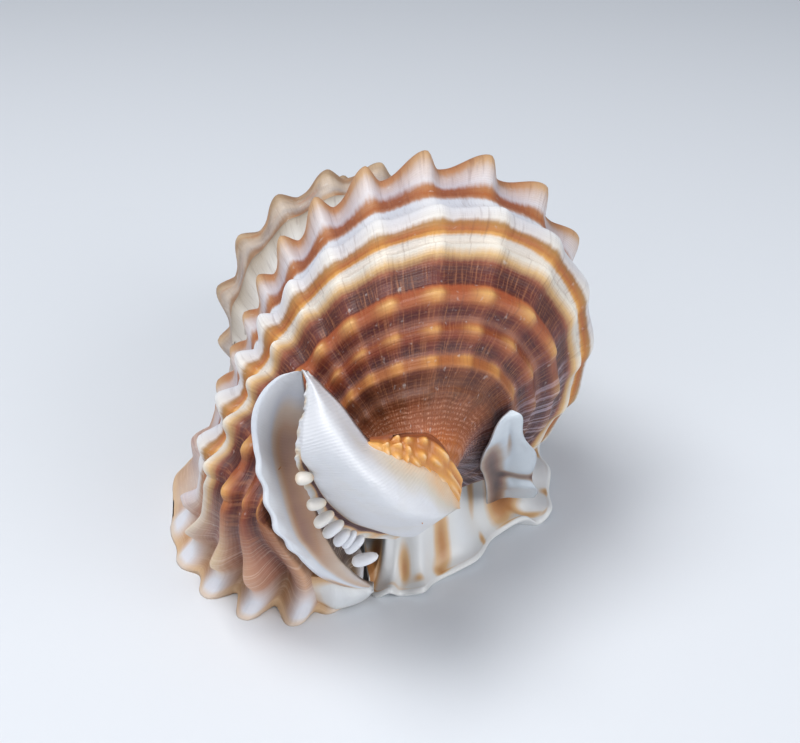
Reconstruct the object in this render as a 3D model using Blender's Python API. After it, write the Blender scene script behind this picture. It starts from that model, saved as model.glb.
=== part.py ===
"""A distorted triton shell, lying on its aperture with the siphonal canal towards -Y.

The shell coils round a level axis that runs along Y. A point of its skin is given by two numbers:
turn, the angle grown through, and cord, the place across the whorl from suture to canal.
Lengths below are in millimetres and become metres when a mesh is made.
"""
import bpy
import bmesh
import numpy as np
from math import radians, tau
from mathutils import Matrix, Vector

MM = 0.001

# Driving dimensions of the coil
CREST = 19.0           # radius of the shoulder crest on top of the last whorl
AXIS_HEIGHT = 14.5     # coiling axis above the ground
LEAN = radians(10.2)   # turn 0 stands this far to the right of straight up
GROWTH = 0.055         # growth of the radius per radian
RISE = 0.125           # forward travel per radian, as a share of the crest radius
LATE_RISE = 0.11       # the same, over the last quarter turn
LAST_TURN = 101.15     # degrees at which the lip starts to flare
INNER_TURNS = 5        # whorls of the spire before the last one
WALL = 1.4             # thickness of the shell at the aperture
SUTURE_CORD = 0.46     # cord number at which the next whorl covers this one
ORIGIN = (-0.9, 4.9, 0.0)   # where the frame's origin lies, counted from the coiling axis

# Half section of the last whorl, as shares of the crest radius: cord number, radius, distance forward
SECTION = (
    (-3, 0.72, -0.45),
    (-2, 0.79, -0.34),
    (-1, 0.85, -0.19),
    (0, 0.877, 0.0),
    (0.5, 0.892, 0.235),
    (1, 0.899, 0.465),
    (2, 0.811, 0.61),
    (3, 0.687, 0.792),
    (4, 0.57, 0.872),
    (5, 0.467, 0.96),
    (6, 0.375, 1.01),
    (7, 0.29, 1.055),
    (8, 0.235, 1.12),
    (9, 0.20, 1.22),
)
NECK_END = 1.30        # forward reach of the neck on the axis, as a share of the crest radius

# How the last quarter whorl leans, in millimetres: shoulder in, base out, neck back
TWIST_START = 50.0       # degrees
TWIST_AT_CREST = 2.3
TWIST_PER_CORD = 0.98
NECK_BACK = 4.2
NECK_CORDS = (4.6, 6.8)   # cord numbers over which the neck sinks back

# Spiral cords, in millimetres: height between the ribs, and how much higher on a rib
CORD_HEIGHT = (1.0, 0.6, 0.65, 0.55, 0.5, 0.45, 0.3)
KNOB_HEIGHT = (1.8, 0.32, 0.32, 0.28, 0.24, 0.2, 0.1)
RIB_HEIGHT = 0.15
# Width of each cord towards the shoulder and towards the canal, in cord numbers
UPPER_WIDTH = (0.40, 0.20, 0.22, 0.24, 0.24, 0.24, 0.24)
LOWER_WIDTH = (0.36, 0.40, 0.36, 0.36, 0.32, 0.32, 0.32)
RIB_VALLEY = 0.68        # where the valley lies between two ribs, so that the knobs lean
LATE_RIBS = (2.5, 6.5)   # ribs over which the side knobs grow stronger and the crest knobs weaker
SIDE_GAIN = 1.7
CREST_LOSS = 0.6

# Axial ribs: degrees from rib 0 to rib 1, and how much closer each later pair stands
RIB_STEP = 15.7
RIB_CLOSER = 0.52
EARLY_RIBS_END = -110.0   # before this turn the ribs are evenly spaced
EARLY_RIB_STEP = 18.62
SPIRE_RIB_STEP = 20.3
COLUMNS_PER_RIB = 4

# The flared outer lip
LIP_COLUMNS = 8          # columns of points over the lip
LIP_RIBS = 1.3           # ribs that run over the lip
LIP_FADE = 0.55          # share of the relief that is gone at its free edge
LIP_NOTCH = 2.4          # depth of the notches between the lobes of its free edge
LIP_SWELL = 1.6          # how much thicker the lip is at its free edge

# The free edge of the outer lip: cord number, x, y, z
LIP_EDGE = (
    (-3, -10.2, 4.9, 6.5),
    (-2, -14.5, 7.8, 3.6),
    (-1, -17.8, 8.0, 1.2),
    (0, -19.3, 5.4, -0.2),
    (1, -19.4, -2.2, -0.3),
    (2, -18.6, -7.4, -0.3),
    (3, -16.4, -12.2, -0.3),
    (4, -13.2, -15.6, -0.3),
    (5, -9.1, -16.9, -0.3),
    (6, -5.8, -15.6, -0.2),
    (7, -3.8, -14.0, 0.2),
    (8, -3.0, -13.5, 3.0),
    (9, -2.0, -17.0, 9.0),
)

# One skin is drawn over all the growths
GRAIN = 0.33         # of the skin, in millimetres
MOUTH_GRAIN = 0.5    # of the cutter that hollows the mouth
SMOOTHING = 2        # passes that soften the skin
TRIANGLES = 9600     # kept when the skin is thinned


def bell(x, middle, width):
    return np.exp(-((x - middle) / width) ** 2)


def ease(x, first, last):
    """0 before first, 1 after last, eased between."""
    t = np.clip((x - first) / (last - first), 0, 1)
    return t * t * (3 - 2 * t)


def smooth(x, knots, values):
    """A smooth curve through the values at the knots."""
    slope = np.gradient(values, knots, axis=0)
    i = np.clip(np.searchsorted(knots, x) - 1, 0, len(knots) - 2)
    step = knots[i + 1] - knots[i]
    t = (x - knots[i]) / step
    if values.ndim > 1:
        t = t[..., None]
        step = step[..., None]
    a = 2 * t ** 3 - 3 * t ** 2 + 1
    b = t ** 3 - 2 * t ** 2 + t
    c = 3 * t ** 2 - 2 * t ** 3
    d = t ** 3 - t ** 2
    return a * values[i] + b * step * slope[i] + c * values[i + 1] + d * step * slope[i + 1]


def radius_size(turn):
    """Growth of the radius, with the swelling and the squeeze that distort the whorl."""
    deg = np.degrees(turn)
    swelling = 0.10 * bell(deg, -32, 34.5)
    squeeze = 0.31 * bell(deg, 64, 50)
    flat_belly = 0.20 * bell(deg, -175, 50)
    flat_side = 0.06 * bell(deg, -105, 26)
    return np.exp(GROWTH * turn) * (1 + swelling - squeeze - flat_belly - flat_side)


def forward_size(turn):
    return np.exp(GROWTH * turn) * (1 - 0.24 * bell(np.degrees(turn), 56, 41))


def travel(turn):
    early = RISE / GROWTH * (np.exp(GROWTH * np.minimum(turn, 0)) - 1)
    return np.where(turn < 0, early, LATE_RISE * turn)


def late_rib(deg):
    return (RIB_STEP - np.sqrt(RIB_STEP ** 2 - 2 * RIB_CLOSER * deg)) / RIB_CLOSER


def rib_number(turn):
    """Rib count along the turn: a whole number on each rib."""
    deg = np.degrees(turn)
    late = late_rib(np.maximum(deg, EARLY_RIBS_END))
    early = late_rib(EARLY_RIBS_END) + (deg - EARLY_RIBS_END) / EARLY_RIB_STEP
    spire_end = LAST_TURN - 360
    first = late_rib(EARLY_RIBS_END) + (spire_end - EARLY_RIBS_END) / EARLY_RIB_STEP
    spire = first + (deg - spire_end) / SPIRE_RIB_STEP
    return np.where(deg < spire_end, spire, np.where(deg < EARLY_RIBS_END, early, late))


def rib_turn(number):
    """The turn, in radians, of a rib on the last whorl."""
    first = late_rib(EARLY_RIBS_END)
    late = RIB_STEP * number - RIB_CLOSER / 2 * number ** 2
    early = EARLY_RIBS_END + (number - first) * EARLY_RIB_STEP
    return np.radians(np.where(number < first, early, late))


def rib_peak(number):
    """1 on a rib and 0 in the valley, steeper on the older side."""
    t = number - np.floor(number)
    older = 0.5 + (t - RIB_VALLEY) / (1 - RIB_VALLEY) / 2
    return (0.5 + 0.5 * np.cos(tau * np.where(t < RIB_VALLEY, t / RIB_VALLEY / 2, older))) ** 1.3


def relief_at(number, cord):
    """Height of cords, knobs and ribs in millimetres on a full-grown whorl, by rib number."""
    peak = rib_peak(number)
    late = ease(number, *LATE_RIBS)
    height = RIB_HEIGHT * peak * bell(cord, 2, 3) * (1 + SIDE_GAIN * late)
    for i, (ridge, knob) in enumerate(zip(CORD_HEIGHT, KNOB_HEIGHT)):
        width = np.where(cord < i, UPPER_WIDTH[i], LOWER_WIDTH[i])
        strength = 1 - CREST_LOSS * late if i == 0 else 1 + SIDE_GAIN * late
        height = height + bell(cord, i, width) * (ridge + knob * peak * strength)
    return height


def relief(turn, cord):
    under_shield = bell(np.degrees(turn), -185, 42)
    return relief_at(rib_number(turn), cord) * (1 - under_shield)


def whorl(turn, cord, out=0.0, bumps=1.0):
    """Points of the coiled skin, moved out along its normal."""
    turn, cord = np.broadcast_arrays(np.asarray(turn, float), np.asarray(cord, float))
    table = np.array(SECTION, float)
    knots = table[:, 0]
    e = 0.001
    radius = smooth(cord, knots, table[:, 1])
    forward = smooth(cord, knots, table[:, 2])
    dr = smooth(cord + e, knots, table[:, 1]) - smooth(cord - e, knots, table[:, 1])
    df = smooth(cord + e, knots, table[:, 2]) - smooth(cord - e, knots, table[:, 2])
    length = np.hypot(dr, df)
    lift = (relief(turn, cord) * bumps * np.exp(GROWTH * turn) + out) / CREST
    spread = 1 + 0.03 * np.clip(turn, -1, 1.6) * np.clip(cord / 3, 0, 1)
    twist = ease(np.degrees(turn), TWIST_START, LAST_TURN)
    wider = twist * (TWIST_PER_CORD * np.clip(cord, -0.3, 5.3) - TWIST_AT_CREST)
    sunk = twist * NECK_BACK * ease(cord, *NECK_CORDS)
    r = CREST * (radius_size(turn) * radius * spread + lift * df / length) + wider
    f = CREST * (travel(turn) + forward_size(turn) * forward - lift * dr / length) - sunk
    angle = turn - LEAN
    return np.stack([-r * np.sin(angle), -f, AXIS_HEIGHT + r * np.cos(angle)], -1)


def pull_share(cord):
    """1 at the suture, fading to 0 over the shoulder ramp."""
    t = np.clip((-0.8 - np.asarray(cord, float)) / 2.2, 0, 1)
    return (t * t * (3 - 2 * t))[..., None]


def skin(turn, cord, out=0.0, bumps=1.0):
    """The whorl with its suture pulled onto the whorl before it."""
    gap = whorl(turn - tau, SUTURE_CORD) - whorl(turn, -3.0)
    return whorl(turn, cord, out, bumps) + gap * pull_share(cord)


def lip_sheet(share, cord, notch=1.0):
    """The lip without relief: share 0 is where it leaves the whorl, 1 is its free edge."""
    share, cord = np.broadcast_arrays(np.asarray(share, float), np.asarray(cord, float))
    share = share[..., None]
    start = skin(radians(LAST_TURN), cord, 0.0, 0.0)
    before = skin(radians(LAST_TURN - 4), cord, 0.0, 0.0)
    table = np.array(LIP_EDGE, float)
    edge = smooth(cord, table[:, 0], table[:, 1:])
    depth = (0.5 - 0.5 * np.cos(tau * cord)) ** 1.6 * bell(cord, 4, 1.6) * LIP_NOTCH * notch
    middle = np.array([-6.0, -2.0, 6.0])
    inward = (middle - edge) / np.linalg.norm(middle - edge, axis=-1, keepdims=True)
    edge = edge + inward * depth[..., None]
    span = np.linalg.norm(edge - start, axis=-1, keepdims=True)
    leave = (start - before) / np.linalg.norm(start - before, axis=-1, keepdims=True) * span
    outward = np.stack([edge[..., 0], edge[..., 1] * 0.6, 0 * edge[..., 0]], -1)
    outward = outward / np.linalg.norm(outward, axis=-1, keepdims=True)
    arrive = (outward * 0.75 + np.array([0, 0, -0.7])) * span
    a = 2 * share ** 3 - 3 * share ** 2 + 1
    b = share ** 3 - 2 * share ** 2 + share
    c = 3 * share ** 2 - 2 * share ** 3
    d = share ** 3 - share ** 2
    return a * start + b * leave + c * edge + d * arrive


def lip(share, cord, out=0.0, bumps=1.0, notch=1.0):
    """The flared lip with its ribs and cords, moved out along its normal."""
    share, cord = np.broadcast_arrays(np.asarray(share, float), np.asarray(cord, float))
    e = 0.01
    along = lip_sheet(share + e, cord, 0.0) - lip_sheet(share - e, cord, 0.0)
    across = lip_sheet(share, cord + e, 0.0) - lip_sheet(share, cord - e, 0.0)
    normal = np.cross(along, across)
    normal = normal / np.linalg.norm(normal, axis=-1, keepdims=True)
    number = rib_number(radians(LAST_TURN)) + LIP_RIBS * share
    size = np.exp(GROWTH * radians(LAST_TURN))
    lift = relief_at(number, cord) * bumps * size * (1 - LIP_FADE * ease(share, 0.45, 0.9)) + out
    points = lip_sheet(share, cord, notch) + normal * lift[..., None]
    span = radians(EARLY_RIB_STEP) * LIP_COLUMNS / COLUMNS_PER_RIB
    home = whorl(radians(LAST_TURN) - tau + span * share, SUTURE_CORD)
    return points + (home - lip_sheet(share, -3.0)) * pull_share(cord)


# Rows of cord numbers used on the spire and on the last whorl
SPIRE_CORDS = (-3, -2, -1, -0.4, 0, SUTURE_CORD)
LAST_CORDS = (-3, -2, -1, -0.4, 0, 0.5, 1, 1.5, 2, 2.5, 3, 3.5, 4, 4.5, 5, 5.5, 6, 7, 8, 9)

# Siphonal canal: centre line of the rounded right wall with its radius
CANAL_WALL = (
    (-8.0, -22.4, 26.0, 0.5),
    (-7.2, -24.0, 24.4, 1.5),
    (-6.3, -25.2, 22.3, 2.0),
    (-4.6, -25.9, 19.6, 2.3),
    (-1.6, -25.2, 17.4, 2.8),
    (1.0, -22.8, 15.4, 2.8),
    (1.5, -19.5, 14.5, 2.6),
)
# Siphonal canal: free left edge of the left wall, and its root behind the right wall
CANAL_BLADE = (
    (-8.8, -22.6, 26.2, -7.4, -22.6, 25.8),
    (-9.6, -22.5, 25.2, -6.5, -22.2, 24.0),
    (-10.7, -22.0, 23.4, -5.5, -21.8, 21.7),
    (-11.2, -21.6, 21.1, -5.1, -22.1, 19.5),
    (-11.1, -21.5, 18.6, -5.2, -22.7, 18.0),
    (-10.7, -22.2, 16.4, -5.7, -23.1, 16.6),
    (-9.7, -22.7, 13.4, -6.9, -22.3, 14.3),
    (-9.1, -22.4, 11.9, -6.3, -21.7, 12.3),
    (-8.3, -21.6, 10.1, -5.6, -20.6, 10.4),
    (-7.5, -20.2, 7.9, -5.0, -19.2, 8.2),
    (-6.3, -18.4, 5.4, -4.3, -17.4, 6.0),
    (-4.5, -16.8, 3.3, -3.5, -16.1, 3.9),
    (-3.1, -15.5, 2.2, -3.0, -15.0, 2.4),
)
BLADE_BACK = (0.3, 1.6, -0.5)   # from the front face of the left wall to its back face

# Slot between the two walls, open into the mouth: left and right edge points, and its run inwards
CANAL_SLOT = (
    (-7.3, -24.7, 16.0, -7.7, -24.2, 16.8),
    (-7.0, -24.4, 14.8, -6.9, -24.0, 15.4),
    (-6.4, -23.9, 13.0, -6.1, -23.4, 13.6),
    (-5.7, -22.9, 10.9, -5.1, -22.3, 11.8),
    (-4.7, -21.2, 8.3, -4.1, -20.4, 9.4),
    (-3.7, -19.3, 5.9, -3.2, -18.7, 6.7),
)
SLOT_RUN = (0.4, 11.5, -7.9)

# Teeth along the right wall of the canal: x, y, z, radius, and the root of the ridge they stand on
CANAL_TEETH = (
    (-8.1, -24.2, 18.7, 0.75, -6.6, -24.0, 18.4),
    (-7.4, -24.1, 16.5, 0.75, -5.6, -24.0, 17.1),
    (-6.9, -23.8, 15.0, 0.75, -5.0, -23.8, 16.0),
    (-6.2, -23.4, 13.8, 0.75, -4.1, -23.1, 14.9),
    (-5.6, -23.0, 12.7, 0.70, -3.3, -22.6, 14.1),
    (-5.0, -22.7, 12.3, 0.65, -2.7, -22.0, 13.2),
    (-4.5, -22.3, 11.5, 0.70, -2.1, -21.3, 12.5),
    (-3.8, -21.4, 9.5, 0.85, -1.6, -20.4, 10.9),
)
RIDGE_BACK = (0.3, 1.2, -0.5)

# Parietal shield: points of its free edge, each with the point where it meets the whorl
SHIELD = (
    (-1.2, -14.4, -0.2, -0.6, -11.0, 5.5),
    (-0.2, -13.8, 0.2, 0.4, -11.0, 6.0),
    (1.5, -14.6, -0.2, 1.6, -11.0, 6.5),
    (2.9, -12.4, 0.2, 2.8, -10.0, 6.5),
    (6.5, -10.9, -0.2, 4.6, -9.0, 6.5),
    (8.5, -7.2, 0.3, 6.3, -6.5, 6.2),
    (11.5, -5.8, -0.2, 8.0, -4.5, 6.0),
    (13.0, -5.3, 0.1, 9.0, -3.5, 6.0),
    (14.3, -4.4, -0.2, 9.8, -2.5, 6.0),
    (14.8, -1.0, 0.3, 10.2, -1.0, 6.0),
    (15.6, 2.0, -0.2, 10.5, 1.0, 5.8),
    (15.4, 5.5, 0.2, 9.5, 3.0, 5.5),
    (16.0, 9.0, -0.2, 8.5, 4.0, 5.5),
    (13.5, 12.5, 0.2, 7.0, 6.5, 5.5),
    (10.0, 15.0, -0.2, 5.0, 8.0, 5.5),
    (5.0, 16.0, 0.2, 2.5, 8.5, 5.5),
    (0.0, 15.5, -0.2, 0.0, 8.0, 5.5),
    (-5.0, 13.5, 0.8, -2.5, 7.0, 5.5),
    (-6.5, 9.0, 2.2, -2.5, 5.0, 5.5),
    (-5.0, 3.0, 2.6, -1.5, 2.0, 5.5),
    (-3.8, -3.0, 2.8, -0.8, -3.0, 5.5),
    (-3.0, -8.0, 2.6, -0.4, -7.0, 6.0),
)
SHIELD_THICKNESS = 1.5
SHIELD_MIDDLE = (2.5, 0.0, 6.0)

# The folded-up wing at the right of the shield: left and right edge points
WING = (
    (7.5, -16.3, 18.4, 8.1, -16.2, 18.3),
    (7.0, -16.9, 18.2, 8.5, -16.0, 17.5),
    (6.5, -17.1, 17.5, 9.1, -14.6, 15.8),
    (6.2, -16.4, 15.9, 9.9, -12.8, 13.5),
    (5.8, -15.4, 14.3, 10.5, -11.2, 11.4),
    (5.9, -13.8, 12.0, 11.1, -9.6, 9.2),
    (6.8, -11.4, 9.5, 11.7, -7.4, 6.4),
    (7.4, -9.4, 6.0, 12.4, -5.4, 3.2),
)
WING_BACK = (-0.6, 1.1, 0.0)


def make_object(name, points, faces):
    mesh = bpy.data.meshes.new(name)
    mesh.from_pydata([Vector(p) * MM for p in points], [], faces)
    work = bmesh.new()
    work.from_mesh(mesh)
    bmesh.ops.recalc_face_normals(work, faces=work.faces)
    bmesh.ops.triangulate(work, faces=work.faces)
    work.to_mesh(mesh)
    work.free()
    made = bpy.data.objects.new(name, mesh)
    bpy.context.scene.collection.objects.link(made)
    return made


def lofted(name, rings):
    """A closed solid through rings of points, with fan caps."""
    n = len(rings[0])
    points = [p for ring in rings for p in ring]
    faces = []
    for r in range(len(rings) - 1):
        for i in range(n):
            j = (i + 1) % n
            faces.append((r * n + i, r * n + j, (r + 1) * n + j, (r + 1) * n + i))
    for base, ring in ((0, rings[0]), ((len(rings) - 1) * n, rings[-1])):
        points.append(np.mean(ring, axis=0))
        faces += [(base + i, base + (i + 1) % n, len(points) - 1) for i in range(n)]
    return make_object(name, points, faces)


def sheet_ring(left, right, back, bow, steps=4):
    """Points round the section of a thin sheet from left to right, bowed in the middle."""
    t = np.linspace(0, 1, steps + 1)[:, None]
    front = left + (right - left) * t + bow * 4 * t * (1 - t)
    return [*front, *(front + back)[::-1]]


def zipper(low, high, points):
    """Triangles between two rows of point indices that share both ends."""
    def shares(row):
        at = np.array([points[i] for i in row])
        run = np.concatenate([[0], np.cumsum(np.linalg.norm(np.diff(at, axis=0), axis=1))])
        return run / run[-1]

    a, b = shares(low), shares(high)
    i = j = 0
    faces = []
    while i < len(low) - 1 or j < len(high) - 1:
        if j == len(high) - 1 or (i < len(low) - 1 and a[i + 1] <= b[j + 1]):
            if low[i + 1] != high[j]:
                faces.append((low[i], low[i + 1], high[j]))
            i += 1
        else:
            if high[j + 1] != low[i]:
                faces.append((low[i], high[j + 1], high[j]))
            j += 1
    return [f for f in faces if len(set(f)) == 3]


def make_coil():
    """The spire, the last whorl and the lip as one closed solid; the mouth is cut out later."""
    start = float(rib_number(radians(LAST_TURN) - tau + 1e-6))
    steps = round((float(rib_number(radians(LAST_TURN))) - start) * COLUMNS_PER_RIB)
    last = rib_turn(start + np.arange(steps + 1) / COLUMNS_PER_RIB)
    last[0], last[-1] = radians(LAST_TURN) - tau, radians(LAST_TURN)
    turns = np.concatenate([last[:-1] - tau * n for n in range(INNER_TURNS, 0, -1)] + [last])
    points, columns = [], []
    first_travel = float(travel(turns[0] - tau / 2))
    points.append((0.0, -CREST * first_travel, AXIS_HEIGHT))
    points.append((0.0, -CREST * NECK_END, AXIS_HEIGHT))
    spire_rows, last_rows = len(SPIRE_CORDS), len(LAST_CORDS)
    whole_from = len(turns) - 1 - steps + LIP_COLUMNS
    for c, turn in enumerate(turns):
        cords = LAST_CORDS if c >= whole_from else SPIRE_CORDS
        at = skin(turn, np.array(cords, float))
        column = [0 if c < steps else columns[c - steps][spire_rows - 1]]
        for row in range(1, len(cords)):
            points.append(tuple(at[row]))
            column.append(len(points) - 1)
        if len(cords) == last_rows:
            column.append(1)
        columns.append(column)
    for m in range(1, LIP_COLUMNS + 1):
        share = m / LIP_COLUMNS
        cords = np.array(LAST_CORDS, float)
        at = lip(share, cords)
        column = [columns[len(turns) - 1 - steps + m][spire_rows - 1]]
        for row in range(1, len(cords)):
            points.append(tuple(at[row]))
            column.append(len(points) - 1)
        column.append(1)
        columns.append(column)
    faces = []
    for left, right in zip(columns, columns[1:]):
        for row in range(min(len(left), len(right)) - 1):
            corners = [left[row], left[row + 1], right[row + 1], right[row]]
            corners = list(dict.fromkeys(corners))
            if len(corners) > 2:
                faces.append(corners)
    first = columns[0]
    faces += [(first[0], first[i + 1], first[i]) for i in range(1, len(first) - 1)]
    old = columns[whole_from][spire_rows - 1:]
    faces += zipper(columns[-1], old, points)
    return make_object("coil", points, faces)


def make_mouth():
    """The cutter that hollows the last half whorl and opens the aperture below."""
    rings = []
    column_forward = (0.86, 0.6, 0.38)
    column_radius = 0.27

    def wall_at(turn, cords):   # thicker where the neck slopes back
        return WALL * (1 + 0.7 * ease(np.degrees(turn), TWIST_START, LAST_TURN) * bell(cords, 5.8, 1.3))

    def inner_side(turn):
        size = float(radius_size(turn))
        ring = []
        for forward in column_forward:
            angle = turn - LEAN
            r = column_radius * CREST * min(size, 0.95)
            f = CREST * (float(travel(turn)) + float(forward_size(turn)) * forward)
            ring.append(np.array([-r * np.sin(angle), -f, AXIS_HEIGHT + r * np.cos(angle)]))
        back_cords = np.linspace(6.5, 1.1 + 2.2 * ease(np.degrees(turn), 0, 45), 5)
        return ring + list(whorl(turn - tau, back_cords, 0.7, 0.0))

    for deg in np.linspace(LAST_TURN - 210, LAST_TURN, 15):
        turn = radians(deg)
        reach = 6.2 + 1.6 * np.clip((deg - LAST_TURN + 60) / 60, 0, 1)
        cords = np.linspace(-1.4, reach, 24)
        near_end = np.clip((deg - LAST_TURN + 210) / 40, 0.25, 1)
        ring = np.array([*skin(turn, cords, -wall_at(turn, cords), 0.0), *inner_side(turn)])
        middle = ring.mean(axis=0)
        rings.append(middle + (ring - middle) * near_end)
    cords = np.linspace(-1.4, 7.8, 24)
    span = radians(38)
    for share in (0.2, 0.4, 0.6, 0.8, 1.0):
        wall = wall_at(radians(LAST_TURN), cords) + LIP_SWELL * share ** 2
        points = lip(share, cords, -wall, 0.0, 0.8)
        rings.append(np.array([*points, *inner_side(radians(LAST_TURN) + span * share)]))
    for drop in (3.0, 7.0):
        rings.append(rings[-1] + np.array([0.0, 0.3, -1.0]) * drop)
    return lofted("mouth", rings)


def make_canal_wall(sides=12):
    route = np.array(CANAL_WALL)
    knots = np.arange(len(route), dtype=float)
    rings = []
    for t in np.linspace(0, len(route) - 1, 15):
        x = np.array(t)
        at = smooth(x, knots, route)
        along = smooth(x + 0.01, knots, route)[:3] - smooth(x - 0.01, knots, route)[:3]
        along = Vector(along).normalized()
        side = along.cross(Vector((0.3, 1, 0.2))).normalized()
        up = side.cross(along)
        ring = []
        for i in range(sides):
            a = tau * i / sides
            ring.append(at[:3] + at[3] * (np.cos(a) * np.array(side) + np.sin(a) * np.array(up)))
        rings.append(ring)
    return lofted("canal_wall", rings)


def make_sheet(name, table, back, bow, stations, steps=4):
    rows = np.array(table)
    knots = np.arange(len(rows), dtype=float)
    rings = []
    for t in np.linspace(0, len(rows) - 1, stations):
        at = smooth(np.array(t), knots, rows)
        rings.append(sheet_ring(at[:3], at[3:], np.array(back), np.array(bow), steps))
    return lofted(name, rings)


def make_shield():
    rows = np.array(SHIELD)
    n = len(rows)
    middle = np.array(SHIELD_MIDDLE)
    drop = np.array([0, 0, -SHIELD_THICKNESS])
    free, root = rows[:, :3], rows[:, 3:]
    slope = free + (root - free) * 0.5 + np.array([0, 0, -1.2])
    levels = [middle + (root - middle) * 0.5, root, slope, free,
              free + (root - free) * 0.06 + np.array([0, 0, -0.8]), slope + drop,
              root + drop * 2.5, middle + (root - middle) * 0.5 + np.array([0, 0, -3.5])]
    points = [p for level in levels for p in level]
    faces = []
    for level in range(len(levels) - 1):
        for i in range(n):
            j = (i + 1) % n
            faces.append((level * n + i, level * n + j, (level + 1) * n + j, (level + 1) * n + i))
    for base, centre in ((0, middle), ((len(levels) - 1) * n, middle + np.array([0, 0, -3.5]))):
        points.append(centre)
        faces += [(base + i, base + (i + 1) % n, len(points) - 1) for i in range(n)]
    return make_object("shield", points, faces)


def make_slot():
    """The cutter that opens the canal between its two walls down into the mouth."""
    run = np.array(SLOT_RUN)
    rings = []
    for row in CANAL_SLOT:
        left, right = np.array(row[:3]), np.array(row[3:])
        rings.append([left - run * 0.1, right - run * 0.1, right + run, left + run])
    return lofted("slot", rings)


def make_tooth(number, x, y, z, radius):
    mesh = bpy.data.meshes.new(f"tooth_{number}")
    work = bmesh.new()
    bmesh.ops.create_icosphere(work, subdivisions=2, radius=radius * MM)
    bmesh.ops.scale(work, vec=(1.15, 1.0, 0.75), verts=work.verts)
    bmesh.ops.translate(work, vec=Vector((x, y, z)) * MM, verts=work.verts)
    work.to_mesh(mesh)
    work.free()
    made = bpy.data.objects.new(f"tooth_{number}", mesh)
    bpy.context.scene.collection.objects.link(made)
    return made


def make_ground():
    """The block that cuts the lowest lobes flat where the shell rests."""
    corners = [(x, y, z) for x in (-40, 40) for y in (-50, 70) for z in (-20, 0)]
    faces = [(0, 1, 3, 2), (4, 6, 7, 5), (0, 4, 5, 1), (2, 3, 7, 6), (0, 2, 6, 4), (1, 5, 7, 3)]
    return make_object("ground", corners, faces)


def reskin(thing, grain):
    """Draws one clean skin over the object's overlapping pieces."""
    step = thing.modifiers.new("reskin", "REMESH")
    step.mode = "VOXEL"
    step.voxel_size = grain * MM
    step.use_smooth_shade = True


def cut(target, cutter):
    """Takes the cutter out of the target."""
    step = target.modifiers.new(cutter.name, "BOOLEAN")
    step.operation = "DIFFERENCE"
    step.solver = "EXACT"
    step.object = cutter
    cutter.hide_render = True
    cutter.display_type = "WIRE"


def settled(thing):
    """The mesh that the object's modifiers give."""
    graph = bpy.context.evaluated_depsgraph_get()
    return bpy.data.meshes.new_from_object(thing.evaluated_get(graph))


def grown_together(name, things):
    """One object that holds the meshes of all the things, which are then removed."""
    work = bmesh.new()
    for thing in things:
        work.from_mesh(settled(thing))
    mesh = bpy.data.meshes.new(name)
    work.to_mesh(mesh)
    work.free()
    for thing in things:
        bpy.data.objects.remove(thing)
    made = bpy.data.objects.new(name, mesh)
    bpy.context.scene.collection.objects.link(made)
    return made


def largest_body(mesh):
    """Removes the crumbs that the skin leaves where surfaces cross."""
    work = bmesh.new()
    work.from_mesh(mesh)
    work.faces.ensure_lookup_table()
    left = set(work.faces)
    best = set()
    while left:
        found = {left.pop()}
        edge_of = list(found)
        while edge_of:
            face = edge_of.pop()
            near = {other for edge in face.edges for other in edge.link_faces} - found
            found |= near
            edge_of += near
        left -= found
        if len(found) > len(best):
            best = found
    bmesh.ops.delete(work, geom=[f for f in work.faces if f not in best], context="FACES")
    work.to_mesh(mesh)
    work.free()
    return mesh


def settle(thing):
    """Turns the object's modifiers into its mesh, keeping the largest body."""
    whole = largest_body(settled(thing))
    thing.modifiers.clear()
    thing.data = whole
    return len(whole.polygons)


def fuse(shell):
    """One skin over everything, thinned, and cut flat where it meets the ground."""
    reskin(shell, GRAIN)
    squares = settle(shell)
    soft = shell.modifiers.new("soft", "SMOOTH")
    soft.factor = 0.5
    soft.iterations = SMOOTHING
    thin = shell.modifiers.new("thin", "DECIMATE")
    thin.ratio = TRIANGLES / (2 * squares)
    thin.use_collapse_triangulate = True
    ground = make_ground()
    cut(shell, ground)
    settle(shell)
    bpy.data.objects.remove(ground)
    shell.data.transform(Matrix.Translation(-Vector(ORIGIN) * MM))
    for face in shell.data.polygons:
        face.use_smooth = True


def shell_material():
    material = bpy.data.materials.new("shell")
    material.use_nodes = True
    surface = material.node_tree.nodes["Principled BSDF"]
    surface.inputs["Base Color"].default_value = (0.52, 0.33, 0.20, 1)
    surface.inputs["Roughness"].default_value = 0.45
    surface.inputs["Metallic"].default_value = 0.0
    return material


def main():
    for old in list(bpy.data.objects):
        bpy.data.objects.remove(old)
    coil = make_coil()
    mouth = grown_together("mouth", [make_mouth(), make_slot()])
    reskin(coil, GRAIN)
    reskin(mouth, MOUTH_GRAIN)
    cut(coil, mouth)
    growths = [
        coil,
        make_canal_wall(),
        make_sheet("canal_blade", CANAL_BLADE, BLADE_BACK, (0.3, 0.9, 0), 21),
        make_sheet("tooth_ridge", [row[:3] + row[4:] for row in CANAL_TEETH], RIDGE_BACK, (0, 0, 0), 15),
        make_shield(),
        make_sheet("wing", WING, WING_BACK, (-0.3, 0.9, 0), 13),
    ]
    growths += [make_tooth(number, *tooth[:4]) for number, tooth in enumerate(CANAL_TEETH, 1)]
    shell = grown_together("shell", growths)
    bpy.data.objects.remove(mouth)
    fuse(shell)
    shell.data.materials.clear()
    shell.data.materials.append(shell_material())


main()
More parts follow.
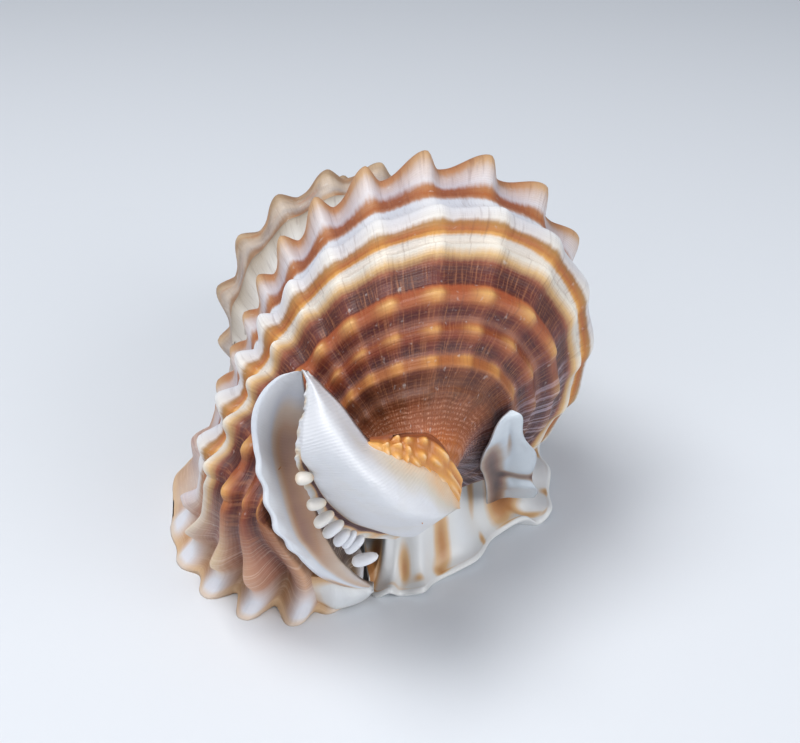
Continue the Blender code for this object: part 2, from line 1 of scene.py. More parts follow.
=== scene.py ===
# A distorted triton shell lying on its mouth: fine shell surface, porcelain canal and shield.
# The formulas of the coil are those of the solid; lengths are millimetres until a mesh is made.
from math import radians, tau
import bpy
import numpy as np
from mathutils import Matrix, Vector


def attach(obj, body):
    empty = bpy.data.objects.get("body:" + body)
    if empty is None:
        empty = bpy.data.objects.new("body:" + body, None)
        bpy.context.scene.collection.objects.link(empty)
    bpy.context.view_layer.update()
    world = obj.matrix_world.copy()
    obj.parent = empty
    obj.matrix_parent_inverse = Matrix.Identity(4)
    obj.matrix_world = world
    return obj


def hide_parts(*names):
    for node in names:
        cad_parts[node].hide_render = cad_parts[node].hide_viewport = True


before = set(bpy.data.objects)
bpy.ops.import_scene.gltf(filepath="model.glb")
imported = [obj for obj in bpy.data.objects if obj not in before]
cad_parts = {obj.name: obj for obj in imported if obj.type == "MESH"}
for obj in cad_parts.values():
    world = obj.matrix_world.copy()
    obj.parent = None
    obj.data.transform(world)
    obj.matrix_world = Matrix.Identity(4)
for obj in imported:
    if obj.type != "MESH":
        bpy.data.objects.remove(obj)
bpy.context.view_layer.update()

millimetre = 0.001
originShift = np.array([0.9, -4.9, 0.0])   # from the coiling axis to the frame's origin
firstCord = -3.0                           # cord number at the suture; cord 0 is the shoulder crest

coil = {
    "crestRadius": 19.0,      # radius of the shoulder crest on top of the last whorl
    "axisHeight": 14.5,
    "lean": radians(10.2),
    "growth": 0.055,          # growth of the radius per radian
    "rise": 0.125,            # forward travel per radian, in crest radii
    "lateRise": 0.11,
    "spread": 0.03,           # how much the base widens per radian
    "lastTurn": 101.15,       # degrees at which the lip starts to flare
    "wall": 1.4,
    "sutureCord": 0.46,
    "neckEnd": 1.30,
    # cord number, radius and distance forward in crest radii
    "section": [(-3, 0.72, -0.45), (-2, 0.79, -0.34), (-1, 0.85, -0.19), (0, 0.877, 0.0),
                (0.5, 0.892, 0.235), (1, 0.899, 0.465), (2, 0.811, 0.61), (3, 0.687, 0.792),
                (4, 0.57, 0.872), (5, 0.467, 0.96), (6, 0.375, 1.01), (7, 0.29, 1.055),
                (8, 0.235, 1.12), (9, 0.20, 1.22)],
}

distortion = {   # middle and width in degrees of turn, and the change as a share of the radius
    "hump": (-32, 34.5, 0.10), "squeeze": (64, 50, -0.31),
    "flatBelly": (-175, 50, -0.20), "flatSide": (-105, 26, -0.06),
}
lateShortening = (56, 41, -0.24)   # the same for the distance forward
smoothBelly = (-185, 42)           # where the relief fades out, on the belly behind the shield

apex = {   # the rounded start of the spire
    "radius": 3.0, "start": 33.2, "length": 4.6,   # start and length along the axis
    "swirl": 0.05, "swirlTwist": 9, "roundness": 0.8,
    "cords": (-1.0, -2.4), "turn": -30.0,   # where on the whorl its colour is read
}

relief = {
    "cordHeight": (1.0, 0.55, 0.60, 0.50, 0.45, 0.40, 0.25),
    "knobHeight": (1.7, 0.30, 0.30, 0.26, 0.22, 0.18, 0.10),
    "upperWidth": (0.40, 0.14, 0.16, 0.18, 0.18, 0.18, 0.20),   # towards the shoulder, in cord numbers
    "lowerWidth": (0.34, 0.40, 0.34, 0.34, 0.30, 0.30, 0.30),   # towards the canal
    "ribHeight": 0.14,
    "lateRibs": (1.5, 5.0), "lateSide": 1.7, "lateCrest": -0.6,         # gains over the last ribs
    "earlyRibs": (-4.2, -6.0), "earlyCordLoss": 0.6, "earlyKnobLoss": 0.75,   # below the third cord
    "ribValley": 0.68,        # where the valley lies between two ribs, so that knobs lean
    "ribSharpness": 1.3,
    "threadsPerCord": 5,      # finer threads between two cords
    "threadHeight": 0.05, "threadCords": (-0.3, 6.8),
    "beadRowsPerCord": 6, "beadsPerRib": 7, "beadHeight": 0.10, "beadRowHeight": 0.04,
    "beadCords": (6.3, 9.1),
    "ribStep": 15.7, "ribCloser": 0.52, "earlyEnd": -110.0, "earlyStep": 18.62, "spireStep": 20.3,
}

twisted = {   # how the last quarter whorl leans: shoulder in, base out
    "turns": (50, 100), "atCrest": 2.3, "perCord": 0.98, "cords": (-0.3, 5.3),
    "neckBack": 5.0, "neckCords": (4.6, 6.8),
}

lipSize = {
    "ribs": 1.3, "notch": 2.4, "notchCord": 4, "notchSpread": 1.6,
    "length": 11.0,           # from the flare to the free edge, as the colours count it
    "sutureTurn": 37.24,      # degrees that its suture runs on
    "outward": 0.75, "down": 0.7, "narrow": 0.6,   # direction in which the free edge arrives
    "middle": (-6.0, -2.0, 6.0),
    "nearCanal": (4.0, 5.2),  # cords over which the flare turns to a plain sheet
    "fade": 0.55, "fadeShares": (0.45, 0.9), "begin": 0.14,   # how the relief fades and sets in
    "rimCurl": 0.9, "thickness": 1.0,
    # cord number, x, y, z of the free edge
    "edge": [(-3, -10.2, 4.9, 6.5), (-2, -14.5, 7.8, 3.6), (-1, -17.8, 8.0, 1.2),
             (0, -19.3, 5.4, 0.0), (1, -19.4, -2.2, 0.0), (2, -18.6, -7.4, 0.0),
             (3, -16.4, -12.2, 0.0), (4, -13.2, -15.6, 0.0), (5, -9.1, -16.9, 0.0),
             (6, -5.8, -15.6, 0.1), (7, -3.8, -14.0, 0.3), (8, -3.0, -13.5, 3.0),
             (9, -2.0, -17.0, 9.0)],
}


def bell(x, middle, width):
    return np.exp(-((x - middle) / width) ** 2)


def ramp(x, first, last):   # 0 before first, 1 after last, eased between
    t = np.clip((x - first) / (last - first), 0, 1)
    return t * t * (3 - 2 * t)


def between(cord, first, last):   # 1 between two cords, fading over half a cord at each end
    return np.clip((cord - first) * 2, 0, 1) * np.clip((last - cord) * 2, 0, 1)


def unit(vectors):
    return vectors / np.linalg.norm(vectors, axis=-1, keepdims=True)


def slopedCurve(t, start, leave, end, arrive):   # from start to end, with the slopes leave and arrive
    cube, square = t ** 3, t ** 2
    return ((2 * cube - 3 * square + 1) * start + (cube - 2 * square + t) * leave
            + (3 * square - 2 * cube) * end + (cube - square) * arrive)


def smooth(x, knots, values):   # a smooth curve through the values at the knots
    knots = np.asarray(knots, float)
    values = np.asarray(values, float)
    slope = np.gradient(values, knots, axis=0)
    i = np.clip(np.searchsorted(knots, x) - 1, 0, len(knots) - 2)
    step = knots[i + 1] - knots[i]
    t = (x - knots[i]) / step
    if values.ndim > 1:
        t = t[..., None]
        step = step[..., None]
    return slopedCurve(t, values[i], step * slope[i], values[i + 1], step * slope[i + 1])


def sizeAt(turn):   # growth of the radius, with the bumps that distort the whorl
    share = 1
    for middle, width, change in distortion.values():
        share = share + change * bell(np.degrees(turn), middle, width)
    return np.exp(coil["growth"] * turn) * share


def forwardAt(turn):
    middle, width, change = lateShortening
    return np.exp(coil["growth"] * turn) * (1 + change * bell(np.degrees(turn), middle, width))


def travelAt(turn):
    growth = coil["growth"]
    early = coil["rise"] / growth * (np.exp(growth * np.minimum(turn, 0)) - 1)
    return np.where(turn < 0, early, coil["lateRise"] * turn)


def lateRib(deg):
    step, closer = relief["ribStep"], relief["ribCloser"]
    return (step - np.sqrt(step ** 2 - 2 * closer * deg)) / closer


def ribNumber(turn):   # a whole number on each rib
    deg = np.degrees(turn)
    earlyEnd, earlyStep = relief["earlyEnd"], relief["earlyStep"]
    late = lateRib(np.maximum(deg, earlyEnd))
    early = lateRib(earlyEnd) + (deg - earlyEnd) / earlyStep
    spireEnd = coil["lastTurn"] - 360
    first = lateRib(earlyEnd) + (spireEnd - earlyEnd) / earlyStep
    spire = first + (deg - spireEnd) / relief["spireStep"]
    return np.where(deg < spireEnd, spire, np.where(deg < earlyEnd, early, late))


def ribPeak(number):   # 1 on a rib, 0 between; steeper on its older side
    t = number - np.floor(number)
    valley = relief["ribValley"]
    skewed = np.where(t < valley, t / valley * 0.5, 0.5 + (t - valley) / (1 - valley) * 0.5)
    return (0.5 + 0.5 * np.cos(tau * skewed)) ** relief["ribSharpness"]


def reliefAt(number, cord):   # cords, knobs, ribs and threads in millimetres on a full-grown whorl
    peak = ribPeak(number)
    late = ramp(number, *relief["lateRibs"])
    early = ramp(number, *relief["earlyRibs"])
    height = relief["ribHeight"] * peak * bell(cord, 2, 3) * (1 + relief["lateSide"] * late)
    for i, (ridge, knob) in enumerate(zip(relief["cordHeight"], relief["knobHeight"])):
        width = np.where(cord < i, relief["upperWidth"][i], relief["lowerWidth"][i])
        gain = relief["lateSide"] if i else relief["lateCrest"]
        lost = early * (i > 2)
        ridge = ridge * (1 - relief["earlyCordLoss"] * lost)
        knob = knob * peak * (1 + late * gain - relief["earlyKnobLoss"] * lost)
        height = height + bell(cord, i, width) * (ridge + knob)
    thread = (0.5 + 0.5 * np.cos(tau * cord * relief["threadsPerCord"])) ** 1.5
    onSide = between(cord, *relief["threadCords"])
    height = height + relief["threadHeight"] * thread * onSide * (0.6 + 0.5 * peak)
    beadRow = 0.5 + 0.5 * np.cos(tau * cord * relief["beadRowsPerCord"])
    bead = 0.5 + 0.5 * np.cos(tau * number * relief["beadsPerRib"])
    onBase = between(cord, *relief["beadCords"])
    return height + onBase * beadRow * (relief["beadRowHeight"] + relief["beadHeight"] * bead)


def whorl(turn, cord, out=0.0, bumps=1.0):   # points of the coiled skin, moved out along its normal
    turn, cord = np.broadcast_arrays(np.asarray(turn, float), np.asarray(cord, float))
    table = np.array(coil["section"])
    knots, crest = table[:, 0], coil["crestRadius"]
    small = 0.001   # step in cord numbers for the slope
    radius = smooth(cord, knots, table[:, 1])
    forward = smooth(cord, knots, table[:, 2])
    dr = smooth(cord + small, knots, table[:, 1]) - smooth(cord - small, knots, table[:, 1])
    df = smooth(cord + small, knots, table[:, 2]) - smooth(cord - small, knots, table[:, 2])
    length = np.hypot(dr, df)
    deg = np.degrees(turn)
    grown = np.exp(coil["growth"] * turn)
    kept = 1 - bell(deg, *smoothBelly)
    lift = (reliefAt(ribNumber(turn), cord) * kept * bumps * grown + out) / crest
    spread = 1 + coil["spread"] * np.clip(turn, -1, 1.6) * np.clip(cord / 3, 0, 1)
    twist = ramp(deg, *twisted["turns"])
    wider = twist * (twisted["perCord"] * np.clip(cord, *twisted["cords"]) - twisted["atCrest"])
    sunk = twist * twisted["neckBack"] * ramp(cord, *twisted["neckCords"])
    r = crest * (sizeAt(turn) * radius * spread + lift * df / length) + wider
    f = crest * (travelAt(turn) + forwardAt(turn) * forward - lift * dr / length) - sunk
    angle = turn - coil["lean"]
    return np.stack([-r * np.sin(angle), -f, coil["axisHeight"] + r * np.cos(angle)], -1)


def pullShare(cord):   # 1 at the suture, fading to 0 over the shoulder ramp
    t = np.clip((-0.8 - np.asarray(cord, float)) / 2.2, 0, 1)
    return (t * t * (3 - 2 * t))[..., None]


def skin(turn, cord, out=0.0, bumps=1.0):   # the whorl with its suture pulled onto the whorl before it
    gap = whorl(turn - tau, coil["sutureCord"]) - whorl(turn, firstCord)
    return whorl(turn, cord, out, bumps) + gap * pullShare(cord)


def lipSheet(share, cord, notch=1.0):   # share 0 is where the lip leaves the whorl, 1 is its free edge
    share, cord = np.broadcast_arrays(np.asarray(share, float), np.asarray(cord, float))
    share = share[..., None]
    lastTurn = coil["lastTurn"]
    start = skin(radians(lastTurn), cord, 0.0, 0.0)
    before = skin(radians(lastTurn - 4), cord, 0.0, 0.0)
    table = np.array(lipSize["edge"])
    edge = smooth(cord, table[:, 0], table[:, 1:])
    valley = (0.5 - 0.5 * np.cos(tau * cord)) ** 1.6
    depth = valley * bell(cord, lipSize["notchCord"], lipSize["notchSpread"]) * lipSize["notch"] * notch
    edge = edge + unit(np.array(lipSize["middle"]) - edge) * depth[..., None]
    span = np.linalg.norm(edge - start, axis=-1, keepdims=True)
    plain = ramp(cord, *lipSize["nearCanal"])[..., None]
    leave = unit(start - before) * span * (1 - plain) + (edge - start) * plain
    outward = unit(np.stack([edge[..., 0], edge[..., 1] * lipSize["narrow"], 0 * edge[..., 0]], -1))
    arrive = (outward * lipSize["outward"] - np.array([0, 0, lipSize["down"]])) * span
    return slopedCurve(share, start, leave, edge, arrive)


def lip(share, cord, out=0.0, bumps=1.0, notch=1.0):   # the flared lip with its ribs and cords
    share, cord = np.broadcast_arrays(np.asarray(share, float), np.asarray(cord, float))
    small = 0.01   # step for the slopes
    lastTurn = radians(coil["lastTurn"])
    along = lipSheet(share + small, cord, 0.0) - lipSheet(share - small, cord, 0.0)
    across = lipSheet(share, cord + small, 0.0) - lipSheet(share, cord - small, 0.0)
    normal = unit(np.cross(along, across))
    number = ribNumber(lastTurn) + lipSize["ribs"] * share
    size = np.exp(coil["growth"] * lastTurn)
    faded = 1 - lipSize["fade"] * ramp(share, *lipSize["fadeShares"])
    lift = reliefAt(number, cord) * bumps * size * faded + out
    begun = ramp(share, 0.0, lipSize["begin"])[..., None]   # the whorl's own relief passes into the lip's
    raised = skin(lastTurn, cord, out, bumps) - skin(lastTurn, cord, 0.0, 0.0)
    points = lipSheet(share, cord, notch) + normal * lift[..., None] * begun + raised * (1 - begun)
    home = whorl(lastTurn - tau + radians(lipSize["sutureTurn"]) * share, coil["sutureCord"])
    return points + (home - lipSheet(share, firstCord)) * pullShare(cord)


def evenCords(last, spacing, turn=0.3):   # cord numbers that lie evenly spaced across the whorl
    fine = np.linspace(firstCord, last, 3000)
    at = whorl(turn, fine, 0.0, 0.0)
    run = np.concatenate([[0], np.cumsum(np.linalg.norm(np.diff(at, axis=0), axis=1))])
    return np.interp(np.linspace(0, run[-1], int(run[-1] / spacing) + 1), run, fine)


def makeMesh(name, points, faces, values, material):
    mesh = bpy.data.meshes.new(name)
    flat = (points.reshape(-1, 3) + originShift) * millimetre
    mesh.from_pydata(flat.tolist(), [], faces)
    for key, value in values.items():
        attribute = mesh.attributes.new(key, "FLOAT", "POINT")
        attribute.data.foreach_set("value", np.asarray(value, np.float32).ravel())
    mesh.polygons.foreach_set("use_smooth", [True] * len(mesh.polygons))
    mesh.update()
    piece = bpy.data.objects.new(name, mesh)
    bpy.context.scene.collection.objects.link(piece)
    mesh.materials.append(material)
    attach(piece, "root")
    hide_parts("shell")


def gridFaces(columns, rows, closed=False, flip=False, start=0):
    c = np.arange(columns - 1)[:, None] * rows
    r = np.arange(rows if closed else rows - 1)[None, :]
    n = (r + 1) % rows
    quads = np.stack([c + r, c + n, c + rows + n, c + rows + r], -1).reshape(-1, 4) + start
    return (quads[:, ::-1] if flip else quads).tolist()


def gridPiece(name, points, values, material, closed=False, flip=False):
    columns, rows = points.shape[:2]
    makeMesh(name, points, gridFaces(columns, rows, closed, flip), values, material)


def linear(hexColour):   # sRGB hex to linear
    parts = [int(hexColour[i:i + 2], 16) / 255 for i in (0, 2, 4)]
    return tuple(v / 12.92 if v <= 0.04045 else ((v + 0.055) / 1.055) ** 2.4 for v in parts) + (1.0,)


def addNode(tree, kind, settings=None, inputs=None):   # one node; its inputs are sockets or plain values
    node = tree.nodes.new(kind)
    for key, value in (settings or {}).items():
        if key == "stops":
            stops = node.color_ramp.elements
            while len(stops) > 1:
                stops.remove(stops[-1])
            for i, (place, colour) in enumerate(value):
                stop = stops[0] if i == 0 else stops.new(place)
                stop.position = place
                stop.color = colour
        else:
            setattr(node, key, value)
    for place, value in (inputs or {}).items():
        if isinstance(value, bpy.types.NodeSocket):
            tree.links.new(value, node.inputs[place])
        else:
            node.inputs[place].default_value = value
    return node


def newMaterial(name, surface):
    material = bpy.data.materials.new(name)
    material.use_nodes = True
    tree = material.node_tree
    shader = tree.nodes["Principled BSDF"]
    for key, value in surface.items():
        shader.inputs[key].default_value = value
    return material, tree, shader


cordBands = {   # colour by cord number between the ribs, and on them; the colours between the ribs are darker and bluer, partly the shell's own colour, partly painted shade in the grooves
    "valley": [(-3.0, "6E5A46"), (-2.5, "A89A88"), (-1.7, "D2CCC4"), (-0.9, "D2C8C0"), (-0.5, "B88460"),
               (-0.25, "C8B8AC"), (-0.06, "AC6A3A"), (0.10, "B4825C"), (0.20, "BCA8A2"), (0.32, "BCB2B8"),
               (0.40, "8E4E30"), (0.50, "8A4A2A"), (0.56, "A87458"), (0.62, "C9CBD4"), (0.95, "D6D6DC"),
               (1.22, "CFC8C6"), (1.30, "9A6A38"), (1.44, "A8602F"), (1.54, "BE8440"), (1.62, "D0C8C0"),
               (2.04, "D2CABE"), (2.20, "C09A68"), (2.32, "6A3022"), (2.42, "4C2019"), (2.72, "481A16"),
               (2.80, "9A4A28"), (3.14, "9C5430")],
    "rib": [(-3.0, "8A745C"), (-2.5, "BCB0A0"), (-1.7, "DEDAD4"), (-0.9, "DED6CC"), (-0.5, "CCA07C"),
            (-0.25, "D4C6B8"), (-0.06, "B88A5C"), (0.10, "C6A27C"), (0.20, "CEBEB6"), (0.32, "D6D0D2"),
            (0.40, "B07A50"), (0.48, "A8602F"), (0.54, "B88058"), (0.60, "DCDCE0"), (0.95, "E6E6E8"),
            (1.22, "DED8D0"), (1.30, "A87E48"), (1.44, "BC7A38"), (1.54, "DCA458"), (1.62, "E4DCD0"),
            (2.04, "E8E0D2"), (2.20, "D8B27C"), (2.32, "94543A"), (2.42, "5E2A24"), (2.72, "6A3028"),
            (2.80, "B86A3C"), (2.98, "D9A765"), (3.14, "BE7E44")],
}
lowBands = {   # the same below the third cord
    "valley": [(3.1, "9C5430"), (3.24, "6A2C20"), (3.36, "48191A"), (3.50, "5A2824"), (3.62, "7A4838"),
               (3.74, "6E3020"), (3.9, "84401F"), (4.14, "7A3522"), (4.30, "52201C"), (4.46, "401A1A"),
               (4.58, "6A3C30"), (4.70, "96552C"), (4.98, "9A5A2E"), (5.12, "5E2C1E"), (5.5, "52281A"),
               (6.0, "6A3820"), (6.3, "7E4224"), (7.0, "8A4824"), (7.6, "96502A"), (8.2, "B0622F"),
               (9.2, "C88848")],
    "rib": [(3.1, "C48648"), (3.24, "8E4A2E"), (3.36, "6A3026"), (3.50, "7A4234"), (3.62, "96604A"),
            (3.74, "A8663C"), (3.9, "D09A5C"), (4.14, "A8623A"), (4.30, "7A3A28"), (4.46, "5E2A24"),
            (4.58, "885040"), (4.70, "C48A4C"), (4.98, "BE8044"), (5.12, "80462C"), (5.5, "6A3A24"),
            (6.0, "663A22"), (6.3, "743E22"), (7.0, "84441F"), (7.6, "9C542A"), (8.2, "B4662F"),
            (9.2, "CC8C4C")],
}
# the lip's colours darken from cord 5.5 towards the canal: painted shade in the groove behind the canal blade
lipBands = [(-3.0, "A88C6C"), (-1.0, "B89A84"), (0.0, "B08A7C"), (0.5, "C8B8B4"), (0.75, "B58268"),
            (1.0, "D4C8CC"), (1.3, "C4A898"), (1.55, "A87050"), (1.8, "C08A58"), (2.0, "DCCCB8"),
            (2.3, "B89078"), (2.5, "8A5A50"), (2.75, "96604E"), (3.0, "DCC09A"), (3.3, "B88468"),
            (3.5, "7E4C44"), (3.75, "96604E"), (4.0, "CE9C7C"), (4.3, "A87058"), (4.5, "6E4038"),
            (4.8, "8E5C48"), (5.0, "CE9C78"), (5.5, "8A6050"), (6.3, "4E3C34"), (7.2, "3E322C")]


# pattern on the outside: repeats per millimetre along and across the whorl, detail, seed
grains = {
    "waver": (0.30, 0.5, 3.0, 0.0), "ragged": (4.0, 0.5, 2.0, 3.0), "beads": (5.0, 1.2, 1.0, 5.0),
    "paleTicks": (5.5, 0.45, 2.0, 7.0), "darkTicks": (4.5, 0.30, 2.0, 11.0),
    "wander": (0.5, 0.4, 3.0, 17.0), "patchy": (0.9, 1.2, 2.0, 19.0), "chalk": (1.6, 1.6, 5.0, 23.0),
    "lamellae": (8.0, 0.35, 1.0, 29.0), "growthLines": (9.0, 0.25, 2.0, 31.0),
    "tanWear": (0.5, 0.7, 4.0, 37.0), "gloss": (1.1, 1.1, 4.0, 41.0), "streaks": (3.4, 0.10, 2.0, 43.0),
    "rust": (0.35, 0.9, 3.0, 47.0),
}
# mark on the outside: value at which it begins, how sharply it sets in, how much it covers, its colour
marks = {
    "paleTicks": (0.52, 7.0, 0.50, "A86C48"), "darkTicks": (0.57, 6.0, 0.28, "5E3426"),
    "spiralLines": (0.10, 1.1, 0.14, "C88450"), "beadNet": (-0.30, 0.8, 0.55, "E0A88A"),
    "lamellae": (0.50, 5.0, 0.32, "F0DCC8"), "lobes": (0.66, 4.0, 0.45, "D2AA78"),
    "rim": (0.955, 30.0, 0.60, "D8B890"), "rust": (0.56, 8.0, 0.70, "A8703F"),
    "chalk": (0.64, 9.0, 0.35, "DCD6D2"),
}
outsideLook = {
    "waver": 0.12, "ragged": 0.075,   # in cord numbers
    "spiralLine": 0.36, "beadRow": 0.40, "fineThread": 0.21, "wander": 1.6,   # in mm
    "lowBandsFrom": 3.12, "lobeColour": "DCDCE2",
    "slate": ("3C3640", "A8A2B0", 0.62), "worn": ("8A7862", "BCA88C", 0.62),   # dark, pale, cover
    "bump": (0.55, 0.12), "gloss": (0.40, 0.22),   # strength and mm deep; roughness and its spread
    "alongPerRadian": 14.0,           # mm, at the middle of the last whorl
    "oldTurns": (-215, -262),         # degrees over which the whorls turn grey
    "lobeTone": 1.25, "lobeShift": 0.05, "lobeCords": (0.2, 0.9),
}


def outsideMaterial():
    # Weathered aragonite, matt to satin: chalky cords, finely ribbed growth lines, stained grooves
    material, tree, shader = newMaterial("weatheredAragonite", {"IOR": 1.53, "Specular IOR Level": 0.45})
    carried = {key: addNode(tree, "ShaderNodeAttribute", {"attribute_name": key}).outputs["Fac"]
               for key in ("cord", "ribPeak", "along", "across", "lipShare", "lobe", "age")}
    look, cord, along, across = outsideLook, carried["cord"], carried["along"], carried["across"]
    spread = addNode(tree, "ShaderNodeCombineXYZ", {}, {0: along, 1: across}).outputs[0]

    def calculated(operation, first, second=0.0, third=0.0, clamp=False):
        return addNode(tree, "ShaderNodeMath", {"operation": operation, "use_clamp": clamp},
                       {0: first, 1: second, 2: third}).outputs[0]

    def grain(key):   # noise stretched over the whorl
        alongScale, acrossScale, detail, seed = grains[key]
        stretched = addNode(tree, "ShaderNodeMapping", {}, {
            "Vector": spread, "Scale": (alongScale, acrossScale, 1.0),
            "Location": (seed, seed * 1.7, seed * 0.3)})
        return addNode(tree, "ShaderNodeTexNoise", {}, {
            "Vector": stretched.outputs[0], "Scale": 1.0, "Detail": detail}).outputs[0]

    def grade(value, start, gain, clamp=True):   # 0 at the start, rising with the gain
        return calculated("MULTIPLY", calculated("SUBTRACT", value, start), gain, clamp=clamp)

    def product(first, *others):
        for other in others:
            first = calculated("MULTIPLY", first, other)
        return first

    def weighted(total, *parts):   # parts are pairs of a value and its weight
        for value, weight in parts:
            total = calculated("MULTIPLY_ADD", value, weight, total)
        return total

    def ripples(distance, spacing):
        return calculated("SINE", calculated("MULTIPLY", distance, tau / spacing))

    def paint(share, under, over):
        return addNode(tree, "ShaderNodeMix", {"data_type": "RGBA"}, {0: share, 6: under, 7: over}).outputs[2]

    def mark(key, under, value, *zones):   # one mark painted over a colour, within its zones
        start, gain, cover, colour = marks[key]
        return paint(product(grade(value, start, gain), *zones, cover), under, linear(colour))

    def dark(colour, gain):   # 1 where the colour is black
        grey = addNode(tree, "ShaderNodeRGBToBW", {}, {0: colour}).outputs[0]
        return grade(grey, 1 / gain, -gain)

    # the bands waver a little along the whorl, and their edges are ragged
    waver = grade(grain("waver"), 0.5, look["waver"], False)
    ragged = grade(grain("ragged"), 0.5, look["ragged"], False)
    placed = weighted(cord, (waver, 1.0), (ragged, 1.0))

    def banded(bands):   # colours by cord number
        low, high = bands[0][0], bands[-1][0]
        stops = [((place - low) / (high - low), linear(colour)) for place, colour in bands]
        return addNode(tree, "ShaderNodeValToRGB", {"stops": stops},
                       {0: grade(placed, low, 1 / (high - low), False)}).outputs[0]

    below = calculated("GREATER_THAN", placed, look["lowBandsFrom"])
    # between the ribs the colours are darker and bluer: partly painted shade in the grooves
    valley, rib = (paint(below, banded(cordBands[key]), banded(lowBands[key])) for key in ("valley", "rib"))
    onRib = weighted(calculated("POWER", carried["ribPeak"], 1.6), (ragged, 1.5))
    side = paint(onRib, valley, rib)
    # growth lines: pale ticks across the dark bands and dark ticks all over, about 0.2 mm apart
    ticks = grain("paleTicks")
    side = mark("paleTicks", side, ticks, dark(side, 3.2))
    side = mark("darkTicks", side, grain("darkTicks"))
    # fine wavy spiral lines in the brown bands
    wander = grain("wander")
    spiral = ripples(weighted(across, (wander, look["wander"])), look["spiralLine"])
    side = mark("spiralLines", side, spiral, dark(side, 1.9), grain("patchy"))
    # the older, lower side of the last whorl is painted dark slate, partly painted shade with a bluish
    # reflection, partly its darker old surface, with pale streaks along the growth lines
    shadow, streak, cover = look["slate"]
    slate = paint(grade(grain("streaks"), 0.50, 7.0), linear(shadow), linear(streak))
    side = paint(product(grade(along, -10.5, -0.14), grade(placed, 2.25, 3.0), cover), side, slate)
    # the base: a net of light beads
    net = ripples(weighted(across, (wander, look["wander"] / 2)), look["beadRow"])
    colour = mark("beadNet", side, net, grade(grain("beads"), 0.42, 4.0), grade(placed, 5.9, 1.2))
    # the flared lip, with pale lobes and a tan rim
    lipShare = carried["lipShare"]
    flare = mark("lamellae", banded(lipBands), grain("lamellae"))
    flare = mark("lobes", flare, lipShare)
    start, gain = marks["lobes"][:2]
    flare = paint(product(grade(lipShare, start, gain), carried["lobe"]), flare, linear(look["lobeColour"]))
    colour = paint(grade(lipShare, 0.05, 2.6), colour, flare)
    colour = mark("rim", colour, lipShare)
    # the older whorls are worn grey and tan
    grey, tan, cover = look["worn"]
    worn = paint(grade(grain("tanWear"), 0.40, 4.0), linear(grey), linear(tan))
    worn = mark("rust", worn, grain("rust"))
    colour = paint(product(carried["age"], cover), colour, worn)
    colour = mark("chalk", colour, grain("chalk"))
    tree.links.new(colour, shader.inputs["Base Color"])
    threads = ripples(across, look["fineThread"])
    height = weighted(0.0, (threads, 0.08), (grain("growthLines"), 0.35), (ticks, 0.5))
    strength, deep = look["bump"]
    bump = addNode(tree, "ShaderNodeBump", {}, {
        "Strength": strength, "Distance": deep * millimetre, "Height": height}).outputs[0]
    tree.links.new(bump, shader.inputs["Normal"])
    middle, varied = look["gloss"]
    tree.links.new(weighted(middle, (grain("gloss"), varied)), shader.inputs["Roughness"])
    return material


porcelainLook = {
    "clouds": 0.26, "cloudShare": 0.30,   # clouds per mm, and how far they move a tone
    "pits": 1.1, "growthLine": 0.25, "lineShare": 0.10,   # pits per mm; mm between growth lines
    "deep": 0.12,   # mm
}


def porcelainMaterial(name, bands, seed, strength=0.25, rough=0.36):
    # Porcelain-like aragonite laid down by the mantle: satin, faintly ribbed, stained in patches
    look = porcelainLook
    material, tree, shader = newMaterial(name, {
        "Roughness": rough, "IOR": 1.55, "Specular IOR Level": 0.45, "Coat Weight": 0.08,
        "Coat Roughness": 0.25})
    tone, run = (addNode(tree, "ShaderNodeAttribute", {"attribute_name": key}).outputs["Fac"]
                 for key in ("tone", "run"))
    place = addNode(tree, "ShaderNodeTexCoord").outputs["Object"]
    clouds, pits = (addNode(tree, "ShaderNodeTexNoise", {}, {"Vector": place, "Scale": scale, "Detail": 4.0})
                    for scale in (look["clouds"] / millimetre + seed, look["pits"] / millimetre))
    share = look["cloudShare"]
    moved = addNode(tree, "ShaderNodeMath", {"operation": "MULTIPLY_ADD"},
                    {0: clouds.outputs[0], 1: share, 2: -share / 2})
    summed = addNode(tree, "ShaderNodeMath", {"operation": "ADD"}, {0: tone, 1: moved.outputs[0]})
    colour = addNode(tree, "ShaderNodeValToRGB", {"stops": [(p, linear(c)) for p, c in bands]},
                     {0: summed.outputs[0]})
    tree.links.new(colour.outputs[0], shader.inputs["Base Color"])
    # growth lines where the piece carries the attribute run, coarser than the real ones so that they show
    wave = addNode(tree, "ShaderNodeMath", {"operation": "SINE"}, {0: run})
    height = addNode(tree, "ShaderNodeMath", {"operation": "MULTIPLY_ADD"},
                     {0: wave.outputs[0], 1: look["lineShare"], 2: pits.outputs[0]})
    bump = addNode(tree, "ShaderNodeBump", {}, {
        "Strength": strength, "Distance": look["deep"] * millimetre, "Height": height.outputs[0]})
    tree.links.new(bump.outputs[0], shader.inputs["Normal"])
    return material


def whorlValues(turns, cords):   # what the material of the outside reads at each point
    turn, cord = np.broadcast_arrays(turns, cords)
    steps = np.linalg.norm(np.diff(whorl(0.0, cord[0], 0.0, 0.0), axis=0), axis=1)
    across = np.concatenate([[0], np.cumsum(steps)])
    onCord = (0.5 + 0.5 * np.cos(tau * (cord - outsideLook["lobeShift"]))) ** 1.3
    lobe = outsideLook["lobeTone"] * onCord * ramp(cord, *outsideLook["lobeCords"])
    return {"cord": cord, "ribPeak": ribPeak(ribNumber(turn)), "lipShare": np.zeros(cord.shape),
            "along": turn * outsideLook["alongPerRadian"], "across": np.broadcast_to(across, cord.shape),
            "lobe": lobe, "age": ramp(np.degrees(turn), *outsideLook["oldTurns"])}


outside = outsideMaterial()
print("materials made")

